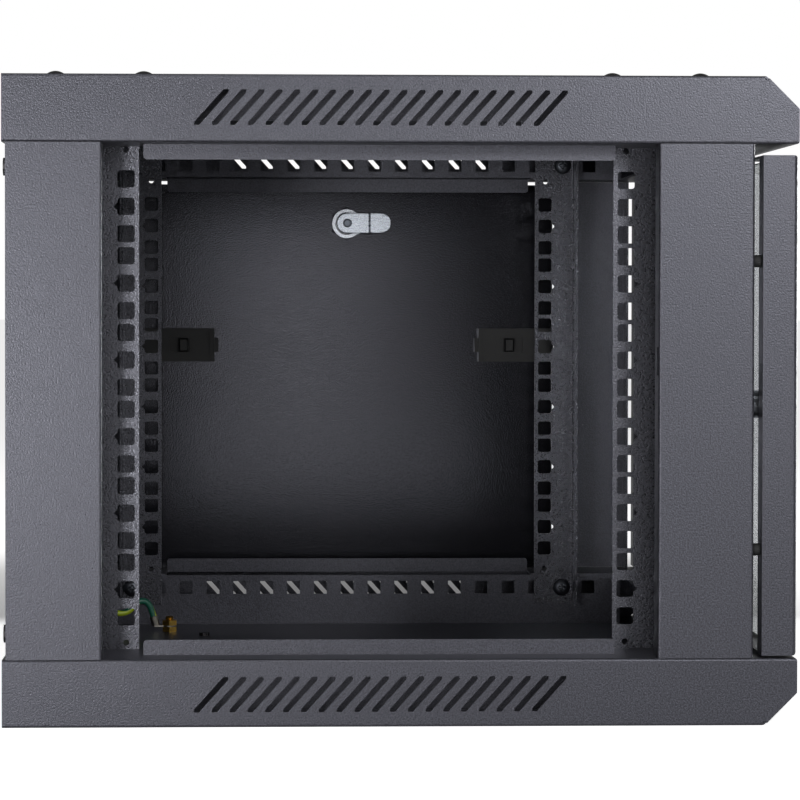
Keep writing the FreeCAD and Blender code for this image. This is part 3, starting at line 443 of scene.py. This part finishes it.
def revolved(profile, relief=None, sides=48):
    # a profile of radius and height carried round the upright axis; relief lowers it by place
    turn = np.linspace(0, 2 * math.pi, sides, endpoint=False)
    r, z = np.array(profile).T
    x, y = np.outer(r, np.cos(turn)), np.outer(r, np.sin(turn))
    z = np.repeat(z[:, None], sides, 1)
    if relief:
        z = z - relief(x, y, z)
    return np.stack([x, y, z], -1).reshape(-1, 3), tubeFaces(len(r), sides)


def aimed(points, place, axis):
    # turns a shape that stands on Z so that it stands on the axis, with its foot at the place
    turn = Vector((0, 0, 1)).rotation_difference(Vector(axis)).to_matrix()
    return points @ np.array(turn).T + np.array(place)


def gathered(shapes):
    # several shapes in one list of points and faces
    starts = np.cumsum([0] + [len(points) for points, faces in shapes[:-1]])
    return (np.concatenate([points for points, faces in shapes]),
            np.concatenate([faces + start for start, (points, faces) in zip(starts, shapes)]))


screwForm = {
    "rail": {"shank": 0.003, "length": 0.009, "head": 0.00625, "height": 0.0036, "edge": 0.0010,
             "domePower": 0.775},
    "roof": {"shank": 0.003, "length": 0.009, "head": 0.0065, "height": 0.0031, "edge": 0.0002,
             "domePower": 0.9},
    "footShare": 0.8,          # of the shank's radius that is left at its chamfered foot
    "footChamfer": 0.0006,
    "crossWidth": 0.00075,
    "crossReach": 0.0027,
    "crossDepth": 0.0020,
    "crossSide": 1.5,          # widths from a wing's middle to the top of its sloping wall
    "crossEnd": 3.0,           # how steeply the end of a wing rises
    "domeRings": 26,
}


def crossRecess(x, y, z):
    # four wings narrow with depth: full depth on the two axes, nothing past their width and reach
    off = np.minimum(np.abs(x), np.abs(y)) / screwForm["crossWidth"]
    out = np.hypot(x, y) / screwForm["crossReach"]
    wings = np.clip(screwForm["crossSide"] - off, 0, 1) * np.clip((1.0 - out) * screwForm["crossEnd"], 0, 1)
    return np.where(z > 0, wings * screwForm["crossDepth"], 0.0)


def screwShape(form, relief):
    # shank, flat seat, short upright edge, then a dome: its height is one less the square of the radius,
    # raised to the dome's power
    shank, length, head, height, edge, power = (
        form[key] for key in ("shank", "length", "head", "height", "edge", "domePower"))
    out = np.linspace(1.0, 0.0, screwForm["domeRings"])
    dome = np.stack([head * out, edge + (height - edge) * (1 - out * out) ** power], 1)
    stem = [(0, -length), (shank * screwForm["footShare"], -length),
            (shank, screwForm["footChamfer"] - length), (shank, 0), (head, 0)]
    return revolved(np.concatenate([stem, dome]), relief)


def makeScrews(name, node, form, places, finish, slot):
    # the same screw at every place, in one piece; only the rail screws have the cross recess
    points, faces = screwShape(screwForm[form], crossRecess if form == "rail" else None)
    shapes = [(aimed(points, place, axis), faces) for place, axis in places]
    makePiece(name, *gathered(shapes), finish, slot, "cabinet", node, smooth=40)


rackRail = {
    "sheet": 0.0018,
    "web": 0.030,
    "units": 6,
    "unitHeight": 0.04445,
    "holeShares": (1 / 7, 1 / 2, 6 / 7),  # heights of the three holes in a unit
    "holeSize": 0.0095,
    "webHoleSize": 0.0100,
    "holeCorner": 0.0017,
    "foldRadius": 0.0024,
    "webHoleEdge": 0.0075,     # centre of the web holes to the free edge of the web
    "faceHoleEdge": 0.01245,   # centre of the face holes to the free edge of the face
    "markReach": 0.0023,
    "gaugeHole": 0.0018,
    "gaugeOffset": 0.015,
    "gaugeDrop": 0.002,
    "gridPerMetre": 1e7,       # corners of two cells that round to one place on this grid are one corner
}
sideSpots = [-1.0, -0.66, 0.0, 0.66, 1.0]                              # along the straight side of a hole
cellShares = np.array([0.0, 0.12, 0.24, 0.36, 0.5, 0.64, 0.76, 0.88])  # along the side of its cell


def holeOutline(half, corner, mark=0.0):
    # a square with round corners, 8 points to a side: two of a corner, five along the side, one of the
    # next corner; a mark pulls the middle of the third side to a point
    run = half - corner
    lead = np.radians([-45.0, -22.5])
    side = np.concatenate([
        np.stack([run + corner * np.cos(lead), -run + corner * np.sin(lead)], 1),
        np.stack([np.full(len(sideSpots), half), run * np.array(sideSpots)], 1),
        [[run + corner * np.cos(-lead[1]), run + corner * np.sin(-lead[1])]]])
    turns = np.arange(4) * math.pi / 2
    quarters = [np.array([[np.cos(t), np.sin(t)], [-np.sin(t), np.cos(t)]]) for t in turns]
    outline = np.concatenate([side @ quarter for quarter in quarters])
    outline[2 * len(side) + len(lead) + len(sideSpots) // 2, 0] -= mark
    return outline


def cellOutline(u0, u1, v0, v1):
    # the rectangle round one hole, with a point for each point of the hole
    rise, reach = v0 + (v1 - v0) * cellShares, u1 + (u0 - u1) * cellShares
    sides = ((u1, rise), (reach, v1), (u0, v0 + v1 - rise), (u0 + u1 - reach, v0))
    return np.concatenate([np.stack(np.broadcast_arrays(u, v), 1) for u, v in sides])


def holedPlate(u0, u1, v0, v1, holes, place):
    # a flat plate with one column of holes, each (u, v, outline): a ring of quads runs from every hole
    # to its cell, place(u, v, deep) puts both skins in space, and walls close the edges met only once
    heights = np.array([hole[1] for hole in holes])
    edges = np.concatenate([[v0], (heights[1:] + heights[:-1]) / 2, [v1]])
    flat = np.concatenate([np.concatenate([outline + (u, v), cellOutline(u0, u1, low, high)])
                           for (u, v, outline), low, high in zip(holes, edges[:-1], edges[1:])])
    around = len(holes[0][2])
    near = np.arange(around)
    far = np.roll(near, -1)
    ring = np.stack([near, far, far + around, near + around], 1)
    faces = (ring + 2 * around * np.arange(len(holes))[:, None, None]).reshape(-1, 4)
    count = len(flat)
    skins = np.concatenate([place(*flat.T, 0.0), place(*flat.T, rackRail["sheet"])])
    grid = np.round(flat * rackRail["gridPerMetre"]).astype(np.int64)
    spot = np.unique(grid, axis=0, return_inverse=True)[1].reshape(-1)
    sides = np.concatenate([faces[:, [i, (i + 1) % 4]] for i in range(4)])
    pair, times = np.unique(np.sort(spot[sides], 1), axis=0, return_inverse=True, return_counts=True)[1:]
    rim = sides[times[pair.reshape(-1)] == 1]
    walls = np.stack([rim[:, 0], rim[:, 1], rim[:, 1] + count, rim[:, 0] + count], 1)
    return skins, np.concatenate([faces, faces + count, walls])


def foldBar(z0, z1, place):
    # the fold between face and web: a quarter ring from the outer radius to the inner one
    radius, sheet, steps = rackRail["foldRadius"], rackRail["sheet"], 6
    turn = np.linspace(0, math.pi / 2, steps + 1)
    outer = np.stack([radius - radius * np.sin(turn), radius - radius * np.cos(turn)], 1)
    inner = radius + (outer - radius) * (radius - sheet) / radius
    ring = np.concatenate([outer, inner[::-1]])
    count = len(ring)
    points = np.concatenate([place(*ring.T, z) for z in (z0, z1)])
    across = np.arange(steps)
    ends = np.stack([across, across + 1, count - 2 - across, count - 1 - across], 1)
    return points, np.concatenate([tubeFaces(2, count), ends, ends + count])


def makeRail(node, side, end):
    # a holed plate for the web, one for the equipment face, and the fold between them
    low, high = (np.array(v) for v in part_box(node))
    inward = 1 if end == "front" else -1          # the way the web runs from the equipment face
    faceY = low[1] if end == "front" else high[1]
    outerX = low[0] if side < 0 else high[0]
    z0, z1, flange = low[2], high[2], high[0] - low[0]
    radius, web, unit = (rackRail[key] for key in ("foldRadius", "web", "unitHeight"))
    units = np.arange(rackRail["units"])[:, None]
    first = (z0 + z1 - len(units) * unit) / 2
    shares = np.array(rackRail["holeShares"])
    rises = (first + unit * (units + shares)).ravel()

    def place(across, ahead, z):
        return np.stack(np.broadcast_arrays(outerX - side * across, faceY + inward * ahead, z), 1)

    half = rackRail["webHoleSize"] / 2
    plain = holeOutline(half, rackRail["holeCorner"])
    marked = holeOutline(half, rackRail["holeCorner"], rackRail["markReach"])
    gauge = holeOutline(rackRail["gaugeHole"], rackRail["gaugeHole"])
    step = unit * shares[0] - rackRail["gaugeOffset"]
    webU = web - rackRail["webHoleEdge"]
    webHoles = [(webU, first + step, gauge)]
    webHoles += [(webU, z, marked if i % 3 == 1 else plain) for i, z in enumerate(rises)]
    webHoles += [(webU, z0 + z1 - first - step + rackRail["gaugeDrop"], gauge)]
    square = holeOutline(rackRail["holeSize"] / 2, rackRail["holeCorner"])
    faceHoles = [(flange - rackRail["faceHoleEdge"], z, square) for z in rises]
    shapes = [holedPlate(radius, web, z0, z1, webHoles, lambda u, v, deep: place(deep, u, v)),
              holedPlate(radius, flange, z0, z1, faceHoles, lambda u, v, deep: place(u, deep, v)),
              foldBar(z0, z1, place)]
    name = node.title().replace("_", "") + "Sheet"
    makePiece(name, *gathered(shapes), shadedRailFinish, "powder_coat", "cabinet", node)


def railScrewPlaces():
    # the screws sit on the inner faces of the rails, a head's radius inside the box of the CAD screws
    low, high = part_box("rail_screws")
    head = screwForm["rail"]["head"]
    seat = -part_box("left_front_rack_rail")[0][0] - rackRail["sheet"]
    return [((side * seat, y, z), (-side, 0, 0)) for side in (-1, 1)
            for y in (low[1] + head, high[1] - head) for z in (low[2] + head, high[2] - head)]


roofBolt = {"inset": 0.025, "places": (0.196, 0.146, -0.1215, -0.172)}


def roofBoltPlaces():
    # two rows from front to back, as far in from the sides of the roof
    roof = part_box("top_cap")[1]
    across = roof[0] - roofBolt["inset"]
    return [((side * across, y, roof[2]), (0, 0, 1)) for side in (-1, 1) for y in roofBolt["places"]]


earthWire = {
    "route": [(0.1938, 0.1542, 0.0124), (0.1934, 0.1560, 0.0190), (0.1924, 0.1598, 0.0236),
              (0.1912, 0.1650, 0.0234), (0.1902, 0.1690, 0.0188), (0.1894, 0.1734, 0.0154),
              (0.1882, 0.1794, 0.0148), (0.1870, 0.1872, 0.0176), (0.1862, 0.1946, 0.0240),
              (0.1863, 0.1999, 0.0332), (0.1870, 0.2034, 0.0440), (0.1880, 0.2072, 0.0570),
              (0.1886, 0.2115, 0.0690), (0.1886, 0.2139, 0.0810)],
    "curveSteps": 12,          # points of the line between two of the route
    "curveOrder": 3,
    "radius": 0.00225,
    "length": 0.1138,
    "sides": 20,
}


def smoothRoute(route):
    # the points of a smooth line that has the route's points as its controls
    curve = bpy.data.curves.new("earthWireRoute", "CURVE")
    curve.dimensions = "3D"
    curve.resolution_u = earthWire["curveSteps"]
    spline = curve.splines.new("NURBS")
    spline.points.add(len(route) - 1)
    spline.points.foreach_set("co", np.array([(*point, 1.0) for point in route]).ravel())
    spline.order_u = earthWire["curveOrder"]
    spline.use_endpoint_u = True
    holder = bpy.data.objects.new("earthWireRoute", curve)
    line = bpy.data.meshes.new_from_object(holder)
    points = np.empty(3 * len(line.vertices))
    line.vertices.foreach_get("co", points)
    bpy.data.objects.remove(holder)
    bpy.data.curves.remove(curve)
    bpy.data.meshes.remove(line)
    return points.reshape(-1, 3)


def makeEarthWire():
    # circles set square to the line, their first spoke square to X; the sleeve map keeps the turn round
    # the wire and the way along it, each from nought to one
    path = smoothRoute(earthWire["route"])
    sides, radius, length = (earthWire[key] for key in ("sides", "radius", "length"))
    way = np.gradient(path, axis=0)
    way /= np.linalg.norm(way, axis=1)[:, None]
    spoke = np.cross(way, (1.0, 0.0, 0.0))
    spoke /= np.linalg.norm(spoke, axis=1)[:, None]
    turn = np.linspace(0, 2 * math.pi, sides, endpoint=False)[:, None]
    circle = spoke[:, None] * np.cos(turn) + np.cross(spoke, way)[:, None] * np.sin(turn)
    rings = path[:, None] + radius * circle
    rows = len(path) - 1
    near = np.arange(sides)
    quads = tubeFaces(len(path), sides)
    ends = [near[::-1].tolist(), (near + rows * sides).tolist()]
    mesh = bpy.data.meshes.new("earthWireSleeve")
    mesh.from_pydata(rings.reshape(-1, 3).tolist(), [], quads.tolist() + ends)
    travel = np.concatenate([[0], np.cumsum(np.linalg.norm(np.diff(path, axis=0), axis=1))]) / length
    u = np.broadcast_to(np.stack([near, near + 1, near + 1, near], -1) / sides, (rows, sides, 4))
    behind, ahead = travel[:-1], travel[1:]
    v = np.broadcast_to(np.stack([behind, behind, ahead, ahead], -1)[:, None], (rows, sides, 4))
    flat = np.zeros((len(mesh.loops), 2))
    flat[:u.size] = np.stack([u.ravel(), v.ravel()], 1)
    mesh.uv_layers.new(name="sleeve").data.foreach_set("uv", flat.ravel())
    wire = enterPiece(mesh, finishes["earth_sleeve"], "cabinet", "earth_wire", smooth=50)


sideLock = {
    "plugLength": 0.0215,
    "camGap": 0.0005,
    "camWidth": 0.015,
    "camThickness": 0.002,
    "camReach": 0.032,
    "camFlat": 0.94,           # share of the half width that is flat
    "camEase": 0.16,           # share of the thickness that its edges slope over
    "tipStart": 0.0238,        # where the tongue begins to taper
    "tipWidth": 0.0012,        # half width left at the end of the taper
    "tipShare": 0.72,          # of that width at the very end
    "bendStart": 0.0158,
    "bendRun": 0.0014,
    "joggle": 0.0035,
    "heelEnd": 0.001,          # first station past the heel
    "stationGap": 0.0004,      # between a straight run of stations and a bend or taper
    "nutFlats": 0.022,
    "nutHeight": 0.005,
    "nutBore": 0.00805,
    "nutChamfer": 0.0005,
    "nutCrown": 0.985,         # of the width across flats, the round top face
    "nutCornerDrop": 0.55,     # how far a corner falls for each step past the crown
    "nutBoreDrop": 0.8,        # width of the bore's chamfer as a share of its depth
    "nutSides": 96,
    "headRadius": 0.00325,
    "headHeight": 0.0016,
    "headEdge": 0.5,           # share of the height that stands upright
    "headFlat": 0.70,          # share of the radius where the top begins
    "headRings": 24,
    "headSides": 72,
    "socketFlats": 0.0034,
    "socketDepth": 0.0010,
    "socketWall": 0.0002,
    "shank": 0.0014,
    "shankLength": 0.004,
}


def lockPlace(points):
    # from the lock's own frame, Z inward and X toward the door, to its place on the side panel
    low, high = (np.array(v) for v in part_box("side_lock_plug"))
    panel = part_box(panelInside["node"])[1]
    middle = (low + high) / 2
    return np.stack([panel[0] - points[:, 2], middle[1] - points[:, 0], middle[2] + points[:, 1]], 1)


def sideCam():
    # stations along the tongue, each a flat ring whose half width follows a round heel and a tapered tip,
    # and whose height takes one smooth step at the bend
    form = sideLock
    half, gap = form["camWidth"] / 2, form["stationGap"]
    bendStart, tipStart = form["bendStart"], form["tipStart"]
    tipRun = form["camReach"] - tipStart
    heel = -half * np.cos(np.linspace(0, math.pi / 2, 14))
    bend = bendStart + form["bendRun"] * np.linspace(0, 1, 7)
    tip = tipStart + tipRun * np.sin(np.linspace(0, math.pi / 2, 12))
    x = np.concatenate([heel, np.linspace(form["heelEnd"], bendStart - gap, 8), bend,
                        np.linspace(bend[-1] + gap, tipStart - gap, 6), tip])
    width = np.where(x < 0, np.sqrt(np.maximum(half ** 2 - x ** 2, 0)), half)
    taper = np.clip((x - tipStart) / tipRun, 0, 1)
    narrow = half - (half - form["tipWidth"]) * (1 - np.sqrt(1 - taper ** 2))
    width = np.where(taper > 0, narrow, width)
    width[-1] *= form["tipShare"]
    step = np.clip((x - bendStart) / form["bendRun"], 0, 1)
    rise = form["plugLength"] + form["camGap"] + form["joggle"] * step * step * (3 - 2 * step)
    edge, ease = form["camFlat"], form["camEase"]
    across = np.array([-1.0, -edge, edge, 1.0, 1.0, edge, -edge, -1.0])
    deep = np.array([1 - ease, 1.0, 1.0, 1 - ease, ease, 0.0, 0.0, ease]) * form["camThickness"]
    sides = len(across)
    rings = np.stack([np.repeat(x[:, None], sides, 1), np.outer(width, across), rise[:, None] + deep], -1)
    ends = np.array([[0, 1, 2, 3], [0, 3, 4, 7], [7, 4, 5, 6]])
    faces = np.concatenate([tubeFaces(len(x), sides), ends, ends + (len(x) - 1) * sides])
    return lockPlace(rings.reshape(-1, 3)), faces


def sideNut():
    # a closed profile carried round the axis: its outer radius is that of a hexagon, chamfered top and bore
    form = sideLock
    turn = np.linspace(0, 2 * math.pi, form["nutSides"], endpoint=False)
    flat, crown = form["nutFlats"] / 2, form["nutFlats"] / 2 * form["nutCrown"]
    hexagon = flat / np.cos((turn + math.pi / 6) % (math.pi / 3) - math.pi / 6)
    top, cut, bore = form["nutHeight"], form["nutChamfer"], form["nutBore"]
    rim = top - (hexagon - crown) * form["nutCornerDrop"]
    radii = (bore, hexagon, hexagon, crown, bore + cut * form["nutBoreDrop"], bore)
    heights = (0, 0, rim, top, top, top - cut)
    radii, heights = (np.stack([np.broadcast_to(v, turn.shape) for v in rows]) for rows in (radii, heights))
    sheet = panelInside["sheet"]
    points = np.stack([radii * np.cos(turn), radii * np.sin(turn), heights + sheet], -1).reshape(-1, 3)
    return lockPlace(points), tubeFaces(len(radii), form["nutSides"], closed=True)


def socket(x, y, z):
    # a hexagon hole in the head: distance to its nearest flat decides the depth
    angle = np.arctan2(y, x) % (math.pi / 3) - math.pi / 6
    inside = sideLock["socketFlats"] / 2 - np.hypot(x, y) * np.cos(angle)
    depth = np.clip(inside / sideLock["socketWall"], 0, 1) * sideLock["socketDepth"]
    return np.where(z > 0, depth, 0.0)


def sideScrew():
    # shank, seat, upright edge and a flat top that the socket lowers
    form = sideLock
    head, height, shank, deep = (form[key] for key in ("headRadius", "headHeight", "shank", "shankLength"))
    stem = [(0, -deep), (shank, -deep), (shank, 0), (head, 0), (head, height * form["headEdge"])]
    top = [(head * t, height) for t in np.linspace(form["headFlat"], 0, form["headRings"])]
    points, faces = revolved(stem + top, socket, form["headSides"])
    foot = form["plugLength"] + form["camGap"] + form["camThickness"]
    return lockPlace(points + (0, 0, foot)), faces


earthStud = {
    "floor": ((0.195, 0.1426, 0.0002), (0, 0, 1), 0.0120),  # foot, direction and length
    "back": ((0.1886, 0.2227, 0.098), (0, -1, 0), 0.0170),
    "radius": 0.003,
    "threadDepth": 0.0004,
    "pitch": 0.001,
    "chamfer": 0.0007,
    "sides": 28,
}


def studShape(length):
    # a threaded rod: its radius runs in and out with each half pitch between two chamfered ends
    radius, pitch, end = (earthStud[key] for key in ("radius", "pitch", "chamfer"))
    root = radius - earthStud["threadDepth"]
    steps = np.arange(int((length - 2 * end) / pitch * 2) + 1)
    ridge = np.where(steps % 2 == 0, root, radius)
    face = root - end / 2
    thread = list(zip(ridge, end + steps * pitch / 2))
    profile = [(0, 0), (face, 0)] + thread + [(face, length), (0, length)]
    return revolved(profile, sides=earthStud["sides"])


def makeEarthStuds():
    # one rod stands on the floor and one on the back panel
    shapes = []
    for place, axis, length in (earthStud["floor"], earthStud["back"]):
        points, faces = studShape(length)
        shapes.append((aimed(points, place, axis), faces))
    makePiece("earthStudThreads", *gathered(shapes), finishes["brass"], "brass", "cabinet",
              "earth_studs", smooth=60)


camZinc = platedFinish("camZincPlate")
nutZinc = platedFinish("nutZincPlate")
screwSteel = platedFinish("lockScrewSteel")
# zinc with painted shade, for the rail screws
shadeDarkenedZinc = platedFinish("shadeDarkenedZincPlate")
makePiece("sideLockTongue", *sideCam(), camZinc, "zinc_steel", "side_lock", "side_lock_cam", smooth=30)
makePiece("sideLockHexNut", *sideNut(), nutZinc, "lock_chrome", "side_panel", "side_lock_nut", smooth=25)
makePiece("sideLockSocketScrew", *sideScrew(), screwSteel, "zinc_steel", "side_lock", "side_lock_screw",
          smooth=35)
makeEarthWire()
makeEarthStuds()
for side, sideName in ((-1, "left"), (1, "right")):
    for end in ("front", "rear"):
        makeRail(sideName + "_" + end + "_rack_rail", side, end)
makeScrews("railScrewHeads", "rail_screws", "rail", railScrewPlaces(), shadeDarkenedZinc, "zinc_steel")
makeScrews("roofBoltDomes", "roof_bolts", "roof", roofBoltPlaces(), finishes["black_zinc"], "black_zinc")
print("lock, earth wire, studs, rack rails and screws made")


studio = {
    "floorSize": 60.0,
    "floorColours": ((0.84, 0.84, 0.845), (0.88, 0.88, 0.88)),
    "floorCloud": 3.0,
    "floorRoughness": 0.9,
    "floorGlow": 0.78,                  # what the floor adds for the camera, on top of the light it gets
    # painted shadow: the patch behind the cabinet where the floor's glow fades
    "paintedShadow": {"start": (0.24, 0.32), "end": (1.00, 0.66), "side": (0.42, 0.22)},
    "mirrorShare": 0.15,
    "skyLight": 0.05,
    "lampAim": (0, 0, 0.18),
    "lamps": {                          # place, width and height, watts
        "wallSideLamp": ((-2.05, 0.62, 0.12), (0.32, 0.36), 13.6),
        "doorSideLamp": ((-2.05, -0.62, 0.85), (0.32, 0.36), 12.4),
        "lowDoorSideLamp": ((-2.05, -0.62, 0.45), (0.32, 0.36), 3.3),
        "farWallSideLamp": ((1.3, 2.10, 0.30), (1.30, 0.50), 32.0),
        "farDoorSideLamp": ((1.3, -2.10, 0.30), (1.30, 0.50), 32.0),
        "middleLamp": ((-2.3, 0.0, 0.42), (0.12, 0.82), 1.05),
        "topLamp": ((-1.3, 0.0, 1.9), (1.0, 1.0), 9.0),
    },
    "viewSensor": 36,                   # millimetres, as the lens
    "viewLens": 140.04,
    "viewPlace": (-2.0516, 0.0887, 0.2432),
    "viewShift": (0.0519, -0.0378),
    "viewTurn": (2.1, 1.35, 0.08),      # degrees right, down and rolled
    "viewReach": (0.05, 50),            # nearest and furthest that it sees
}


def whiteRays(net):
    # one for what is seen straight or through glass, a share of it in mirrors, nought for falling light
    straight, through, mirrored = (net.node("LightPath", output="Is " + kind + " Ray")
                                   for kind in ("Camera", "Transmission", "Glossy"))
    seen = net.maths("MAXIMUM", straight, through)
    return net.maths("MAXIMUM", seen, mirrored * studio["mirrorShare"])


def floorFinish():
    # painted shadow: the glow fades out in a fixed patch behind the cabinet, where the front lamps' shadow
    # falls, so the floor stays darker there
    finish = Finish("paleFloor", {"Roughness": studio["floorRoughness"], "Emission Strength": 1.0})
    cloud = finish.noise(studio["floorCloud"])
    finish.set("Base Color", finish.tint(cloud, *studio["floorColours"]))
    paintedShadow = studio["paintedShadow"]
    away, aside = finish.part(0), finish.maths("ABSOLUTE", finish.part(1))
    depth = finish.fade(away, *paintedShadow["start"]) * finish.fade(away, *paintedShadow["end"])
    glow = whiteRays(finish) * studio["floorGlow"] * (1 - depth * finish.fade(aside, *paintedShadow["side"]))
    finish.set("Emission Color", finish.tint(glow, (0, 0, 0), (1, 1, 1)))
    return finish.material


def layFloor():
    # one wide square at the cabinet's foot
    half = studio["floorSize"] / 2
    mesh = bpy.data.meshes.new("studioFloor")
    corners = [(-half, -half, 0), (half, -half, 0), (half, half, 0), (-half, half, 0)]
    mesh.from_pydata(corners, [], [(0, 1, 2, 3)])
    floor = bpy.data.objects.new("studioFloor", mesh)
    bpy.context.scene.collection.objects.link(floor)
    mesh.materials.append(floorFinish())


def lightStudio():
    # a faint even sky that looks white to the camera, and lamps that all face the cabinet's middle
    world = bpy.data.worlds.new("studioSky")
    world.use_nodes = True
    bpy.context.scene.world = world
    net = Net(world.node_tree)
    sky = world.node_tree.nodes["Background"]
    net.feed(sky.inputs["Color"], (1, 1, 1, 1))
    net.feed(sky.inputs["Strength"], whiteRays(net) * (1 - studio["skyLight"]) + studio["skyLight"])
    for name, (place, size, power) in studio["lamps"].items():
        data = bpy.data.lights.new(name, "AREA")
        data.shape = "RECTANGLE"
        data.size, data.size_y = size
        data.energy = power
        piece = bpy.data.objects.new(name, data)
        piece.location = place
        aim = Vector(studio["lampAim"]) - Vector(place)
        piece.rotation_euler = aim.to_track_quat("-Z", "Y").to_euler()
        bpy.context.scene.collection.objects.link(piece)


def placeCamera():
    # it looks along X at the open side, then turns right and down and rolls a little
    data = bpy.data.cameras.new("viewCamera")
    data.sensor_width = studio["viewSensor"]
    data.lens = studio["viewLens"]
    data.shift_x, data.shift_y = studio["viewShift"]
    data.clip_start, data.clip_end = studio["viewReach"]
    camera = bpy.data.objects.new("viewCamera", data)
    camera.location = studio["viewPlace"]
    right, down, roll = (math.radians(v) for v in studio["viewTurn"])
    level = Euler((math.pi / 2 - down, 0, -math.pi / 2 - right)).to_matrix()
    camera.rotation_euler = (level @ Matrix.Rotation(roll, 3, "Z")).to_euler()
    bpy.context.scene.collection.objects.link(camera)
    bpy.context.scene.camera = camera


layFloor()
lightStudio()
placeCamera()
bpy.context.scene.view_settings.view_transform = "Standard"
print("floor, lamps and camera placed")
